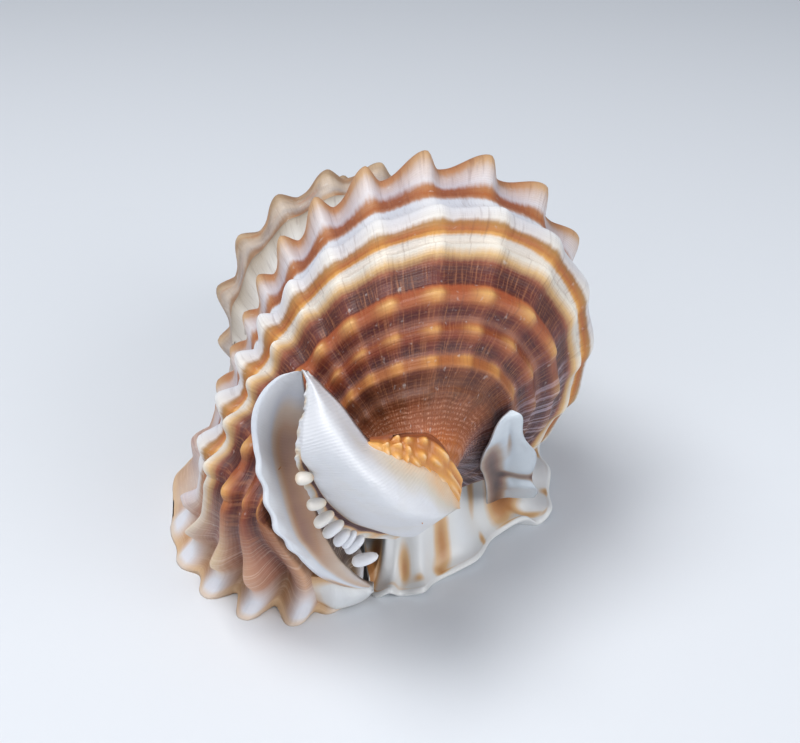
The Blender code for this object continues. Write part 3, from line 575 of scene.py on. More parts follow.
lastTurn = coil["lastTurn"]
whorls = {
    # first and last turn and step between columns in degrees, last cord, spacing across in mm
    "lastWhorl": (-120, 58, 0.75, 8.95, 0.13),
    "lateWhorl": (57.5, lastTurn, 0.7, 7.6, 0.13),
    "lastWhorlBelow": (-262, -119.9, 1.0, 8.95, 0.22),
    "penultimateWhorl": (lastTurn - 540, -255, 0.9, 1.7, 0.14),
    "penultimateBack": (lastTurn - 720, lastTurn - 539.5, 0.9, 0.75, 0.2),
    "spire": (lastTurn - 360 * 5, lastTurn - 719.5, 1.6, 0.75, 0.3),
}
buried = {"cords": (0.5, 1.1), "depth": 1.6}   # how the older whorls sink under the next one
neckRows = 12   # rows over which the neck closes on the axis


def makeWhorl(name, firstDeg, lastDeg, columnStep, lastCord, spacing):
    columns = int((lastDeg - firstDeg) / columnStep) + 1
    turns = np.radians(np.linspace(firstDeg, lastDeg, columns))[:, None]
    cords = evenCords(lastCord, spacing)[None, :]
    sunk = buried["depth"] * ramp(cords, *buried["cords"]) if lastCord < 2 else 0.0
    points = skin(turns, cords, -sunk)
    if lastCord > 8.9:
        tip = np.array([0.0, -coil["crestRadius"] * coil["neckEnd"], coil["axisHeight"]])
        closing = np.linspace(0.05, 1.0, neckRows)[None, :, None] ** 1.5
        points[:, -neckRows:] += (tip - points[:, -neckRows:]) * closing
    gridPiece(name, points, whorlValues(turns, cords), outside, flip=True)


def makeApex(rings=24, sides=96):   # the worn nucleus that closes the spire
    around = np.linspace(0, tau, sides, endpoint=False)[None, :]
    climb = np.linspace(0, 1, rings)[:, None]
    swirl = 1 + apex["swirl"] * np.cos(around - climb * apex["swirlTwist"])
    radius = apex["radius"] * np.cos(climb * np.pi / 2) ** apex["roundness"] * swirl
    back = apex["start"] + apex["length"] * np.sin(climb * np.pi / 2) + 0 * around
    points = np.stack([radius * np.sin(around), back, coil["axisHeight"] + radius * np.cos(around)], -1)
    cords = np.linspace(*apex["cords"], sides)[None, :]
    gridPiece("apex", points, whorlValues(np.full((rings, 1), apex["turn"]), cords), outside, closed=True)


for name, row in whorls.items():
    makeWhorl(name, *row)
makeApex()
print("whorls made")


def makeLip(columns=62, rimRows=4):
    share = np.linspace(0, 1, columns)[:, None]
    cords = evenCords(7.2, 0.13)[None, :]
    outer = lip(share, cords)
    drop = lip(1.0, cords[0], -lipSize["thickness"]) - outer[-1]
    curl = (outer[-1] - outer[-3]) * lipSize["rimCurl"]
    steps = np.linspace(1 / rimRows, 1.0, rimRows)[:, None, None]
    points = np.concatenate([outer, outer[-1] + drop * steps + curl * np.sin(steps * np.pi)])
    points[..., 2] = np.maximum(points[..., 2], 0.0)
    shares = np.concatenate([share, np.ones((rimRows, 1))]) + np.zeros(cords.shape)
    values = whorlValues(radians(lastTurn) + 0 * shares, cords)
    values["lipShare"] = shares
    values["along"] = values["along"] + lipSize["length"] * shares
    values["ribPeak"] = ribPeak(ribNumber(radians(lastTurn)) + lipSize["ribs"] * shares)
    gridPiece("outerLip", points, values, outside, flip=True)


makeLip()
print("lip made")

canal = {
    # points along the canal from its tip down to the mouth, one list for each line along it
    "bladeEdge": [(-8.1, -22.6, 26.0), (-9.1, -22.6, 25.7), (-10.1, -22.4, 24.7), (-10.8, -22.1, 23.3),
                  (-11.1, -21.9, 21.9), (-11.1, -21.8, 20.3), (-10.9, -22.0, 18.6), (-10.6, -22.2, 16.8),
                  (-10.3, -22.5, 15.1), (-9.8, -22.7, 13.4), (-9.1, -22.4, 11.9), (-8.3, -21.6, 10.1),
                  (-7.5, -20.2, 7.9), (-6.3, -18.4, 5.4), (-4.5, -16.8, 3.3), (-3.1, -15.6, 2.2)],
    "bladeInside": [(-8.0, -22.3, 25.8), (-8.5, -21.6, 24.7), (-9.1, -21.0, 23.4), (-9.5, -20.4, 21.5),
                    (-9.7, -20.1, 19.9), (-9.8, -20.2, 18.5), (-9.6, -20.5, 17.0), (-9.3, -20.8, 15.3),
                    (-9.0, -21.0, 13.7), (-8.5, -21.2, 11.9), (-7.9, -20.8, 10.4), (-7.2, -20.0, 8.6),
                    (-6.3, -18.8, 6.6), (-5.1, -17.4, 4.5), (-3.8, -16.2, 2.9), (-3.0, -15.4, 2.1)],
    "gutter": [(-7.9, -22.2, 25.8), (-7.8, -21.4, 24.4), (-7.6, -20.8, 22.9), (-7.4, -20.4, 21.1),
               (-7.4, -20.2, 19.5), (-7.4, -20.2, 18.0), (-7.4, -20.4, 16.5), (-7.4, -20.6, 15.0),
               (-7.3, -20.7, 13.6), (-7.0, -20.6, 12.0), (-6.3, -20.2, 9.9), (-5.6, -19.2, 7.8),
               (-4.8, -18.0, 5.9), (-4.2, -16.8, 4.3), (-3.4, -15.8, 2.9), (-2.9, -15.2, 2.1)],
    "rim": [(-7.9, -22.7, 26.1), (-7.6, -22.9, 25.2), (-7.8, -23.2, 24.4), (-7.9, -23.5, 23.4),
            (-8.3, -23.8, 22.6), (-8.5, -24.0, 21.4), (-8.6, -24.2, 20.1), (-8.3, -23.9, 18.4),
            (-7.9, -23.6, 17.1), (-7.4, -23.2, 15.4), (-6.7, -22.8, 14.0), (-5.9, -22.2, 12.6),
            (-4.8, -21.3, 11.4), (-3.2, -20.4, 10.5), (-1.3, -19.6, 9.7)],
    "crease": [(-7.8, -22.9, 26.2), (-7.5, -23.3, 25.6), (-7.4, -23.9, 24.9), (-7.6, -24.5, 24.1),
               (-7.8, -25.1, 23.4), (-7.9, -25.6, 22.3), (-7.9, -25.4, 20.9), (-7.3, -24.7, 19.4),
               (-6.7, -24.1, 17.6), (-5.9, -23.6, 16.0), (-5.0, -23.0, 14.6), (-3.9, -22.6, 13.4),
               (-2.4, -22.0, 12.3), (-1.1, -21.4, 11.3), (0.0, -20.8, 10.7)],
    "bulge": [(-7.7, -22.8, 26.1), (-7.3, -23.3, 25.6), (-7.0, -24.0, 25.2), (-6.7, -24.9, 24.7),
              (-6.4, -25.7, 24.1), (-5.9, -26.5, 23.4), (-5.3, -27.1, 22.4), (-4.4, -27.6, 21.1),
              (-3.3, -27.8, 19.8), (-2.1, -27.5, 18.2), (-0.9, -26.8, 16.8), (0.2, -25.8, 15.7),
              (1.1, -24.6, 14.8), (1.9, -23.2, 14.1), (2.4, -22.0, 13.5)],
    "seam": [(-7.7, -22.2, 25.7), (-7.0, -22.2, 25.0), (-6.5, -22.3, 24.4), (-5.8, -22.6, 23.7),
             (-5.2, -22.9, 23.0), (-4.3, -23.2, 21.6), (-3.4, -23.4, 20.4), (-2.1, -23.4, 19.7),
             (-0.7, -23.2, 18.8), (0.8, -22.7, 17.7), (2.0, -22.0, 16.3), (2.8, -21.2, 14.7),
             (3.3, -20.6, 13.4), (3.4, -20.2, 12.7), (3.5, -19.9, 12.3)],
    "bladeBack": (0.1, 1.3, -0.7), "wallBack": (0.3, 2.2, -1.2),
    "bladeLobes": 11.5, "lobeDepth": 0.20, "lobeWay": (-1.0, -0.3, 0.0), "bladeRound": (-0.42, -0.15, 0.05),
    "grooveDeep": (0.0, 0.9, -0.2), "chalkDepth": 0.11, "chalkWay": (-0.8, -0.5, 0.2),
    # teeth: left tip, right tip, radius and tone
    "teeth": [((-8.7, -24.6, 18.8), (-7.4, -24.6, 18.9), 0.52, 0.44),
              ((-8.0, -24.3, 16.4), (-6.6, -24.3, 16.6), 0.48, 0.44),
              ((-7.5, -24.0, 14.5), (-6.1, -24.0, 15.5), 0.50, 0.42),
              ((-6.9, -23.6, 13.3), (-5.4, -23.6, 14.4), 0.50, 0.34),
              ((-6.1, -23.2, 12.2), (-5.0, -23.2, 13.3), 0.48, 0.28),
              ((-5.5, -22.9, 11.7), (-4.5, -22.9, 13.0), 0.42, 0.24),
              ((-5.3, -22.5, 11.0), (-3.9, -22.5, 12.2), 0.50, 0.22),
              ((-4.8, -21.6, 9.3), (-2.8, -21.6, 9.8), 0.52, 0.24)],
    "toothWide": 1.25, "toothDeep": 0.80,
    # the knobbly band above the wall: rows of points from the seam up
    "beadRows": [[(-3.7, -23.7, 20.3), (-2.9, -23.8, 19.9), (-2.1, -23.8, 19.3),
                  (-1.3, -23.6, 18.7), (-0.5, -23.3, 18.3), (0.6, -22.8, 17.1),
                  (1.8, -22.0, 15.6), (2.9, -21.2, 14.2), (3.3, -20.6, 13.2)],
                 [(-3.6, -23.5, 20.7), (-2.8, -23.5, 20.4), (-2.0, -23.4, 20.1),
                  (-1.2, -23.3, 19.6), (-0.4, -23.1, 19.1), (0.6, -22.7, 18.2),
                  (1.8, -22.1, 16.9), (2.8, -21.4, 15.4), (3.3, -20.8, 13.9)],
                 [(-3.5, -23.2, 20.6), (-2.7, -23.1, 20.4), (-1.9, -22.9, 20.2),
                  (-1.2, -22.7, 20.0), (-0.4, -22.5, 19.7), (0.7, -22.3, 19.1),
                  (1.9, -22.0, 17.9), (2.7, -21.4, 16.3), (3.4, -20.8, 14.5)],
                 [(-3.4, -22.6, 20.3), (-2.6, -22.4, 20.2), (-1.8, -22.1, 20.2),
                  (-1.0, -21.9, 20.2), (-0.2, -21.7, 20.1), (0.9, -21.6, 19.9),
                  (2.0, -21.5, 18.8), (2.8, -21.0, 17.0), (3.5, -20.4, 14.8)]],
    # one row of beads each: place from the seam up, beads in the row, their height
    "beadSteps": [(0.50, 9.5, 0.26), (1.40, 8.0, 0.36), (2.35, 7.0, 0.42)],
    # the end of the lip beside the canal, left and right edge points from the top down
    "tip": [(-9.0, -17.6, 5.6, -8.2, -15.0, 0.8), (-7.4, -17.2, 4.9, -7.0, -15.2, 0.6),
            (-6.1, -17.0, 4.6, -5.9, -15.8, 0.5), (-5.0, -16.6, 3.9, -4.9, -15.7, 0.5),
            (-3.9, -15.8, 2.7, -3.9, -15.2, 0.4), (-3.1, -15.1, 1.9, -3.1, -14.8, 0.6),
            (-2.6, -14.9, 1.6, -2.7, -14.7, 1.1)],
    "tipBack": (0.1, 1.1, -0.2), "tipSwell": (0.0, -0.50, 0.25), "tipRipple": (0.0, -0.12, 0.06),
}

# the dark plum stops at the top of the wall's ramp give the painted shade in its groove
wallWhite = porcelainMaterial("porcelainWall", [
    (0.0, "D4D6DC"), (0.3, "DFE0E4"), (0.48, "D6CDBE"), (0.62, "E3B98A"), (0.80, "6E4F50"), (1.0, "4A3236")],
    0.0, strength=0.6, rough=0.42)   # chalky, so rougher than the rest
fascioleGlaze = porcelainMaterial("stainedAragonite", [
    (0.0, "8A4A28"), (0.3, "BE7838"), (0.55, "E0A558"), (0.75, "E8C49A"), (1.0, "EED9B8")], 10.0)
bladeGlaze = porcelainMaterial("porcelainBlade", [
    (0.0, "E4E8EE"), (0.25, "D2D4DC"), (0.48, "CDB8A6"), (0.75, "B0886C"), (1.0, "86605A")], 20.0)
shieldGlaze = porcelainMaterial("porcelainShield", [
    (0.0, "E8ECF0"), (0.40, "E2E2E0"), (0.60, "D8B488"), (0.8, "BC8450"), (1.0, "A0683A")], 40.0)
# the dark stops of the wing's ramp give the painted shade in its hollow
wingGlaze = porcelainMaterial("porcelainWing", [
    (0.0, "D8E0E6"), (0.30, "C0C8D0"), (0.52, "A89484"), (0.75, "7A5A4E"), (1.0, "46302E")], 50.0)
# the darker stops give the painted shade deep in the mouth
mouthGlaze = porcelainMaterial("porcelainMouth", [(0.0, "D8C8B8"), (0.5, "B08A70"), (1.0, "6A4436")], 60.0)


def ringPiece(name, rings, tone, material):   # a closed solid through rings of points
    stations, sides = rings.shape[:2]
    faces = gridFaces(stations, sides, closed=True)
    faces.append(list(range(sides))[::-1])
    faces.append([(stations - 1) * sides + i for i in range(sides)])
    steps = np.linalg.norm(np.diff(rings.mean(axis=1), axis=0), axis=1)
    distance = np.concatenate([[0], np.cumsum(steps)])[:, None]
    run = distance * tau / porcelainLook["growthLine"] + np.zeros((1, sides))
    makeMesh(name, rings, faces, {"tone": tone, "run": run}, material)


def lines(keys, stations):   # the canal's lines, read at evenly spaced stations
    found = []
    for key in keys:
        t = np.linspace(0, len(canal[key]) - 1, stations)
        found.append(smooth(t, np.arange(len(canal[key])), np.array(canal[key])))
    return np.array(found)


def acrossCurve(points, steps):   # smooth curves through the lines, one for each station
    u = np.linspace(0, len(points) - 1, steps)
    return smooth(u, np.arange(len(points)), points.reshape(len(points), -1)).reshape(steps, -1, 3)


def makeBlade(stations=220, steps=30, roundSteps=4):
    front = acrossCurve(lines(("bladeEdge", "bladeInside", "gutter"), stations), steps)
    t = np.linspace(0, 1, stations)
    wave = 0.5 + 0.5 * np.cos(tau * (t * canal["bladeLobes"] + 0.1))
    lobes = canal["lobeDepth"] * wave * ramp(t, 0.34, 0.42) * ramp(t, 0.78, 0.70)
    edge = bell(np.linspace(0, 1, steps), 0, 0.10)[:, None, None]
    front = front + np.array(canal["lobeWay"]) * edge * lobes[None, :, None]
    back = front + np.array(canal["bladeBack"])
    s = np.linspace(0.2, 0.8, roundSteps)[:, None, None]
    turned = front[0] * (1 - s) + back[0] * s + np.array(canal["bladeRound"]) * np.sin(np.pi * s)
    ring = np.concatenate([front[::-1], turned, back])
    u = np.concatenate([np.linspace(1, 0, steps), np.zeros(roundSteps), np.linspace(0, 1, steps)])
    inner = ramp(u, 0.22, 0.62) * (1 - 0.25 * ramp(u, 0.6, 1.0))
    shaded = inner[None, :] * (ramp(t, 0.04, 0.30) * (1 - 0.45 * ramp(t, 0.62, 0.85)))[:, None]
    orange = bell(u, 0.0, 0.18)[None, :] * bell(t, 0.90, 0.055)[:, None]
    pale = bell(u, 0.0, 0.2)[None, :] * lobes[:, None]
    tone = np.clip(0.08 + 0.80 * shaded + 0.62 * orange - 0.5 * pale, 0, 1)
    ringPiece("canalBlade", ring.transpose(1, 0, 2), tone, bladeGlaze)


def makeWall(stations=260, steps=44):
    rim, crease, bulge, seam = lines(("rim", "crease", "bulge", "seam"), stations)
    t = np.linspace(0, 1, stations)
    groove = (rim + crease) / 2 + np.array(canal["grooveDeep"]) * ramp(t, 0.38, 0.5)[:, None]
    groove[t < 0.38] += np.array([0.0, -0.1, 0.1])
    front = acrossCurve(np.array([rim, groove, crease, bulge, seam]), steps)
    flakes = np.sin(t * 120 + 2 * np.sin(t * 31)) * np.sin(t * 47 + 1)
    chalk = canal["chalkDepth"] * flakes * ramp(t, 0.02, 0.1) * ramp(t, 0.8, 0.6)
    edge = bell(np.linspace(0, 1, steps), 0.05, 0.09)[:, None, None]
    front = front + np.array(canal["chalkWay"]) * edge * chalk[None, :, None]
    back = front + np.array(canal["wallBack"])
    ring = np.concatenate([front[::-1], back])
    u = np.concatenate([np.linspace(1, 0, steps), np.linspace(0, 1, steps)])
    # the groove between rim and crease is darkened with painted shade
    dark = bell(u, 0.25, 0.10)[None, :] * ramp(t, 0.36, 0.5)[:, None]
    chalky = bell(u, 0.05, 0.16)[None, :] * (0.55 + 0.45 * np.sin(t * 83))[:, None]
    warm = ramp(u, 0.80, 0.97)[None, :] * ramp(t, 0.35, 0.6)[:, None]
    tone = np.clip(0.30 + 0.25 * chalky + 0.60 * dark + 0.28 * warm, 0, 1)
    ringPiece("canalWall", ring.transpose(1, 0, 2), tone, wallWhite)


def makeTeeth(sides=20, stations=22):
    points, faces, tones = [], [], []
    angle = np.linspace(0, tau, sides, endpoint=False)[:, None]
    place = np.linspace(-1, 1, stations)[:, None, None]   # from the left tip to the right
    for left, right, radius, tone in canal["teeth"]:
        left, right = np.array(left), np.array(right)
        along = unit(right - left)
        side = unit(np.cross(along, (0, 0, 1.0)))
        up = np.cross(side, along)
        width = radius * np.sqrt(np.maximum(1 - np.abs(place) ** 2.6, 0.0)) * (0.94 - 0.16 * place)
        around = canal["toothWide"] * np.cos(angle) * side + canal["toothDeep"] * np.sin(angle) * up
        faces += gridFaces(stations, sides, closed=True, flip=True, start=len(points) * stations * sides)
        points.append((left + right) / 2 + (right - left) * place / 2 + width * around)
        tones.append(tone + 0.16 * np.abs(place[..., 0]) ** 3 + np.zeros((1, sides)))
    makeMesh("canalTeeth", np.array(points), faces, {"tone": np.array(tones)}, wallWhite)


def makeBeads(columns=380, rows=110):   # rows of beads that turn to ropes at the right
    table = np.array(canal["beadRows"])
    along = acrossCurve(table.transpose(1, 0, 2), columns).transpose(1, 0, 2)
    points = acrossCurve(along, rows)
    u = np.linspace(0, 1, columns)[None, :]
    v = np.linspace(0, len(table) - 1, rows)[:, None]
    normal = unit(np.cross(np.gradient(points, axis=1), np.gradient(points, axis=0)))
    normal = normal * np.sign(-normal[..., 1:2])
    bump = np.zeros((rows, columns))
    for i, (place, count, high) in enumerate(canal["beadSteps"]):
        sway = place + 0.10 * np.sin(u * 17 + i * 2)
        beat = 0.5 + 0.5 * np.cos(tau * (u * count + 0.47 * i + 0.10 * np.sin(u * 29 + i)))
        rope = ramp(u, 0.74, 0.86)
        bump = bump + high * (beat * (1 - rope) + 0.75 * rope) * bell(v, sway, 0.31)
    ends = ramp(u, 0.02, 0.30) * ramp(u, 1.0, 0.94)
    lift = bump * ends - 0.25 * ramp(v, 2.6, 3.0)
    front = points + normal * lift[..., None]
    back = points + np.array(canal["wallBack"])
    tone = np.clip(0.66 - 0.13 * v + 1.1 * (bump - 0.14) * ends - 0.35 * ramp(v, 2.5, 3.0), 0, 1)
    ring = np.concatenate([front, back[::-1]]).transpose(1, 0, 2)
    ringPiece("fascioleBeads", ring, np.concatenate([tone, tone[::-1]]).T, fascioleGlaze)


def leafFront(table, stations, steps):   # a sheet between two edge lines, and how far across and along
    rows = np.array(table)
    t = np.linspace(0, len(rows) - 1, stations)
    at = smooth(t, np.arange(len(rows)), rows)
    s = np.linspace(0, 1, steps)[:, None, None]
    front = at[None, :, :3] * (1 - s) + at[None, :, 3:] * s
    return front, s, (t / t[-1])[None, :, None]


def makeTip(stations=90, steps=30):   # the white end of the lip beside the canal
    front, s, down = leafFront(canal["tip"], stations, steps)
    front = front + np.array(canal["tipSwell"]) * np.sin(np.pi * s) * ramp(down, 0.25, 0.6)
    front = front + np.array(canal["tipRipple"]) * np.sin(down * 19 + s * 3) * np.sin(np.pi * s)
    back = front + np.array(canal["tipBack"])
    back[..., 2] = np.maximum(back[..., 2], 0.05)
    ring = np.concatenate([front[::-1], back])
    across = np.concatenate([s[::-1, 0, 0], s[:, 0, 0]])[:, None]
    fall = down[..., 0]
    stain = bell(across, 0.0, 0.26) * bell(fall, 0.45, 0.30) + 0.6 * ramp(fall, 0.40, 0.10)
    tone = 0.15 + 0.60 * stain + 0.25 * bell(across, 1.0, 0.08)
    ringPiece("lipTip", ring.transpose(1, 0, 2), tone.T, shieldGlaze)


makeBlade()
makeWall()
makeBeads()
makeTeeth()
makeTip()
print("canal made")

shield = {
    # free edge, each point with the point where it meets the whorl
    "rows": [(-2.7, -13.2, 0.2, -1.2, -11.0, 5.5), (-1.2, -14.5, 0.0, -0.4, -11.0, 5.6),
             (-0.2, -14.0, 0.2, 0.4, -11.0, 6.0), (1.5, -14.7, 0.0, 1.6, -11.0, 6.5),
             (2.9, -12.6, 0.3, 2.8, -10.0, 6.5), (6.5, -10.9, 0.0, 4.6, -9.0, 6.5),
             (8.5, -7.4, 0.5, 6.3, -6.5, 6.2), (11.5, -5.8, 0.1, 8.0, -4.5, 6.0),
             (13.0, -5.4, 0.2, 9.0, -3.5, 6.0), (14.3, -4.4, 0.0, 9.8, -2.5, 6.0),
             (14.8, -1.0, 0.5, 10.2, -1.0, 6.0),
             (15.6, 2.0, 0.0, 10.5, 1.0, 5.8), (15.4, 5.5, 0.5, 9.5, 3.0, 5.5),
             (16.0, 9.0, 0.0, 8.5, 5.0, 5.5), (13.5, 12.5, 0.4, 7.0, 6.5, 5.5),
             (10.0, 15.0, 0.0, 5.0, 8.0, 5.5), (5.0, 16.0, 0.4, 2.5, 8.5, 5.5),
             (0.0, 15.5, 0.0, 0.0, 8.0, 5.5), (-5.0, 13.5, 0.8, -2.5, 7.0, 5.5),
             (-6.5, 9.0, 2.2, -2.5, 5.0, 5.5), (-5.0, 3.0, 2.6, -1.5, 2.0, 5.5),
             (-3.8, -3.0, 2.8, -0.8, -3.0, 5.5), (-3.0, -8.0, 2.6, -0.4, -6.0, 6.0)],
    "edgeThickness": 0.6, "rootThickness": 2.2, "edgeHeight": 0.75, "flute": 0.46, "sag": 0.30,
    "edgeRound": 0.28, "inward": 0.6,   # how far the skirt runs on inside, as a share of its width
    "middle": (2.5, 0.0, 6.0),
    # brown stains: x, y, radius along x, radius along y, strength
    "stains": [(9.4, -4.4, 1.5, 2.4, 0.75), (10.6, -2.6, 1.6, 1.6, 0.7), (12.6, -4.9, 1.6, 0.35, 0.5),
               (6.6, -6.3, 0.5, 1.6, 0.5), (7.5, -8.4, 0.35, 1.0, 0.45), (3.6, -10.6, 0.9, 1.3, 0.65),
               (3.2, -12.2, 0.8, 0.6, 0.4), (0.2, -12.6, 0.6, 1.1, 0.6), (1.3, -13.6, 0.6, 0.5, 0.4),
               (-2.7, -12.2, 0.6, 1.7, 0.75), (-0.9, -13.9, 0.9, 0.4, 0.35), (-1.9, -10.8, 0.5, 1.6, 0.6),
               (14.6, -1.5, 0.8, 0.9, 0.5), (15.2, 5.5, 0.9, 1.2, 0.5), (12.0, 13.2, 1.4, 1.2, 0.5)],
}

wing = {   # left and right edge points, from the tip down
    "rows": [(7.6, -16.9, 18.7, 7.8, -16.9, 18.7), (6.9, -17.6, 18.5, 8.3, -16.9, 18.0),
             (6.4, -17.8, 17.8, 9.0, -15.5, 16.2), (6.1, -17.2, 16.2, 9.8, -13.8, 14.0),
             (5.8, -16.4, 14.7, 10.4, -12.3, 12.0), (5.9, -14.8, 12.5, 11.0, -10.7, 9.8),
             (6.7, -12.4, 10.0, 11.6, -8.5, 7.0), (7.4, -10.2, 7.0, 12.3, -6.3, 4.4),
             (7.8, -8.4, 4.6, 12.4, -4.8, 2.6)],
    "back": (0.1, 1.0, -0.5), "hollow": (0.2, 1.3, -0.5), "edgeCurl": (0.1, -0.5, 0.2),
    "ledge": (0.0, -1.1, 0.4), "ripple": (0.25, 0.0, 0.1), "fold": (0.1, -0.4, 0.2),
}


def makeShield(places=620, edgeRows=5):
    rows = np.array(shield["rows"])
    count = len(rows)
    looped = np.concatenate([rows[-2:], rows, rows[:3]])
    place = np.linspace(0, count, places, endpoint=False)
    at = smooth(place, np.arange(-2, count + 3, dtype=float), looped)
    free, root = at[:, :3], at[:, 3:]
    middle = np.array(shield["middle"])
    drop = root[:, 2] - free[:, 2]
    flute = shield["flute"] * np.cos(tau * (place / 2 - 0.5))

    def sheet(t):   # t is 0 at the root, 1 at the free edge and below 0 towards the middle
        flat = np.maximum(t, 0)
        points = root + (free - root) * flat[..., None] + (middle - root) * np.maximum(-t, 0)[..., None]
        sag = -shield["sag"] * drop * np.sin(np.pi * flat) * (1 - 0.3 * flat)
        points[..., 2] += sag + flute * flat ** 1.1 + shield["edgeHeight"] * flat ** 2
        return points

    inward, thickness = shield["inward"], shield["edgeThickness"]
    t = np.concatenate([np.linspace(-inward, 0, 8)[:-1], np.linspace(0, 1, 60)])[:, None]
    inside = np.linspace(1, -inward, 24)[:, None]
    top, under = sheet(t), sheet(inside)
    under[..., 2] -= thickness + (shield["rootThickness"] - thickness) * (1 - np.maximum(inside, 0))
    steps = np.linspace(0.15, 0.85, edgeRows)[:, None, None]
    outward = unit((free - middle) * np.array([1, 1, 0])) * shield["edgeRound"]
    turned = top[-1][None] + outward * np.sin(np.pi * steps) - np.array([0, 0, thickness]) * steps
    points = np.concatenate([top, turned, under])
    points[..., 2] = np.maximum(points[..., 2], 0.0)
    stain = np.zeros(top.shape[:2])
    for x, y, wide, deep, strength in shield["stains"]:
        stain = stain + strength * bell(top[..., 0], x, wide) * bell(top[..., 1], y, deep)
    line = bell(t, 0.97, 0.025) * (0.5 + 0.5 * np.sin(place * 2.9))[None, :]
    tone = 0.18 + np.minimum(stain, 0.85) + 0.25 * line
    rest = np.full((edgeRows + len(inside), places), 0.35)
    gridPiece("parietalShield", points, {"tone": np.concatenate([tone, rest])}, shieldGlaze, closed=True)


def makeWing(stations=140, steps=48):   # a bent leaf, hollow at the lower left, with painted shade darkening the hollow
    front, s, down = leafFront(wing["rows"], stations, steps)
    front = front + np.array(wing["hollow"]) * bell(s, 0.40, 0.26) * ramp(down, 0.08, 0.5)
    front = front + np.array(wing["edgeCurl"]) * bell(s, 1.0, 0.18) * ramp(down, 0.1, 0.5)
    front = front + np.array(wing["ledge"]) * bell(down, 0.86 - 0.06 * s, 0.05) * ramp(s, 0.15, 0.5)
    front = front + np.array(wing["ripple"]) * np.sin(down * 15) * bell(s, 1.0, 0.35)
    front = front + np.array(wing["fold"]) * bell(s, 0.30 + 0.2 * down, 0.10) * bell(down, 0.5, 0.2)
    back = front + np.array(wing["back"])
    ring = np.concatenate([front[::-1], back])
    across = np.concatenate([s[::-1, 0, 0], s[:, 0, 0]])[:, None]
    fall = down[..., 0]
    # the hollow at the lower left is darkened with painted shade; the brown patch in its middle is partly
    # painted shade too
    cavityShade = bell(across, 0.20, 0.20) * ramp(fall, 0.30, 0.60)
    brown = bell(across, 0.52, 0.10) * bell(fall, 0.42, 0.14)
    crack = bell(fall, 0.76 - 0.05 * across, 0.030) * ramp(across, 0.2, 0.4)
    tone = 0.10 + 0.85 * cavityShade + 0.40 * brown + 0.60 * crack + 0.25 * bell(across, 1.0, 0.05)
    ringPiece("shieldWing", ring.transpose(1, 0, 2), np.clip(tone, 0, 1).T, wingGlaze)


mouth = {
    "before": 200,            # degrees before the flare at which the lining starts
    "cords": (6.2, -1.4), "swell": 0.64,
    "axisRadius": 0.27, "forward": (0.86, 0.38), "lateForward": 0.26,   # in crest radii
    "endSize": 0.25, "endTurn": 40,   # it narrows to this size over these degrees
}


def makeLining(inner=9, behind=24, outer=60):   # the porcelain inside of the mouth, open below
    crest = coil["crestRadius"]
    cords = np.linspace(*mouth["cords"], outer)

    def innerSide(turn):
        deg, angle = np.degrees(turn), turn - coil["lean"]
        first, last = mouth["forward"]
        forward = np.linspace(first - mouth["lateForward"] * ramp(deg, 30, 105), last, inner)
        r = np.full(inner, mouth["axisRadius"] * crest * min(sizeAt(turn), 0.95))
        f = crest * (travelAt(turn) + forwardAt(turn) * forward)
        near = np.stack([-r * np.sin(angle), -f, coil["axisHeight"] + r * np.cos(angle)], -1)
        backCords = np.linspace(6.5, 1.1 + 2.2 * ramp(deg, 0, 45), behind)
        return np.concatenate([near, whorl(turn - tau, backCords, 0.7, 0.0)])[::-1]

    rings = []
    for before in np.linspace(-mouth["before"], 0, 60):
        turn = radians(lastTurn + before)
        ring = np.concatenate([skin(turn, cords, -coil["wall"], 0.0), innerSide(turn)])
        size = np.clip((before + mouth["before"] + 10) / mouth["endTurn"], mouth["endSize"], 1)
        rings.append(ring.mean(axis=0) + (ring - ring.mean(axis=0)) * size)
    for share in np.linspace(0.05, 1.0, 20):
        points = lip(share, cords, -coil["wall"] - mouth["swell"] * share ** 2, 0.0)
        rings.append(np.concatenate([points, innerSide(radians(lastTurn + 38 * share))]))
    rings = np.array(rings)
    rings[..., 2] = np.maximum(rings[..., 2], 0.05)
    # the tone darkens from the lip deep into the mouth: painted shade in the hollow
    depth = np.linspace(1, 0, len(rings))[:, None] + np.zeros(rings.shape[:2])
    gridPiece("mouthLining", rings, {"tone": depth}, mouthGlaze)


makeShield()
makeWing()
makeLining()
print("shield and mouth made")

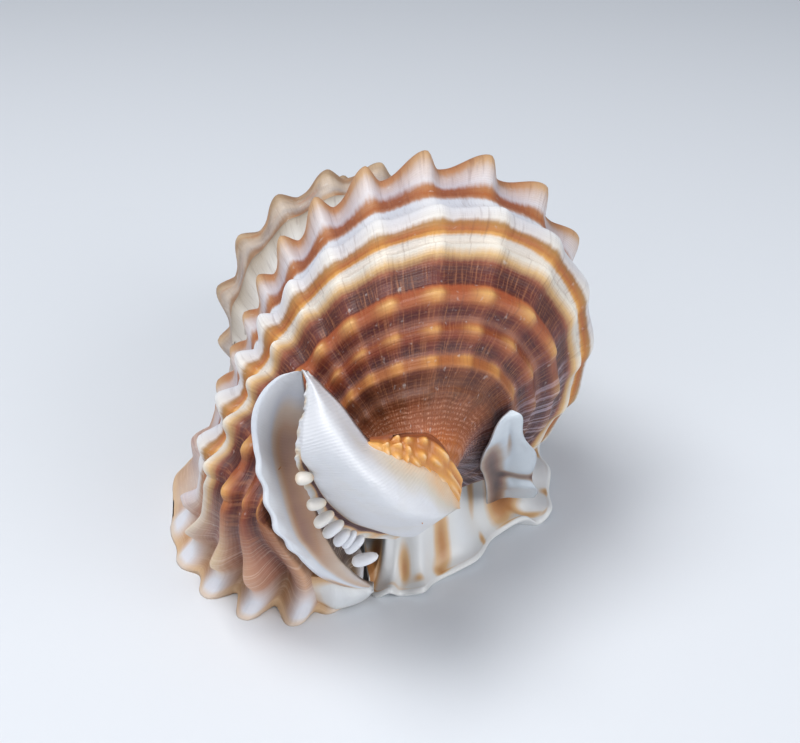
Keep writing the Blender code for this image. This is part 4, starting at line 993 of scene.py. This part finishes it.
studio = {
    "floorColour": "DDE1E6", "floorReach": 1.2,
    "cameraPlace": (-0.00885, -0.1010, 0.06487), "forward": (0.10053, 0.87727, -0.46936),
    "lens": 56.25, "clipStart": 0.002,
    "skyColour": (0.82, 0.88, 1.0, 1), "skyStrength": 0.30,
    # place, target, size, watts and colour
    "lights": {
        "keyLight": ((-0.16, -0.06, 0.42), (0, -0.01, 0.01), 0.26, 1.5, (1, 1, 1)),
        "fillLight": ((-0.26, -0.38, 0.26), (0, 0, 0.01), 0.30, 0.40, (0.95, 0.97, 1.0)),
        "sideLight": ((0.24, -0.30, 0.20), (0, 0, 0.01), 0.30, 0.85, (1, 1, 1)),
    },
}


def aim(direction):   # rotation that points a lamp or camera along a direction
    return Vector(direction).to_track_quat("-Z", "Y").to_euler()


def makeFloor():
    mesh = bpy.data.meshes.new("studioFloor")
    reach = studio["floorReach"]
    mesh.from_pydata([(-reach, -reach, 0), (reach, -reach, 0), (reach, reach, 0), (-reach, reach, 0)],
                     [], [(0, 1, 2, 3)])
    floor = bpy.data.objects.new("studioFloor", mesh)
    bpy.context.scene.collection.objects.link(floor)
    paper = {"Base Color": linear(studio["floorColour"]), "Roughness": 0.9}   # pale, dull, without grain
    mesh.materials.append(newMaterial("palePaper", paper)[0])


def makeStudio():
    makeFloor()
    for name, (place, target, size, watts, colour) in studio["lights"].items():
        light = bpy.data.lights.new(name, "AREA")
        light.size = size
        light.energy = watts
        light.color = colour
        lamp = bpy.data.objects.new(name, light)
        lamp.location = place
        lamp.rotation_euler = aim(Vector(target) - Vector(place))
        bpy.context.scene.collection.objects.link(lamp)
    world = bpy.data.worlds.new("studio")
    world.use_nodes = True
    sky = world.node_tree.nodes["Background"]
    sky.inputs["Color"].default_value = studio["skyColour"]
    sky.inputs["Strength"].default_value = studio["skyStrength"]
    bpy.context.scene.world = world
    bpy.context.scene.view_settings.view_transform = "Standard"
    view = bpy.data.cameras.new("camera")
    view.lens = studio["lens"]
    view.clip_start = studio["clipStart"]
    camera = bpy.data.objects.new("camera", view)
    camera.location = studio["cameraPlace"]
    camera.rotation_euler = aim(studio["forward"])
    bpy.context.scene.collection.objects.link(camera)
    bpy.context.scene.camera = camera


makeStudio()
print("studio made")
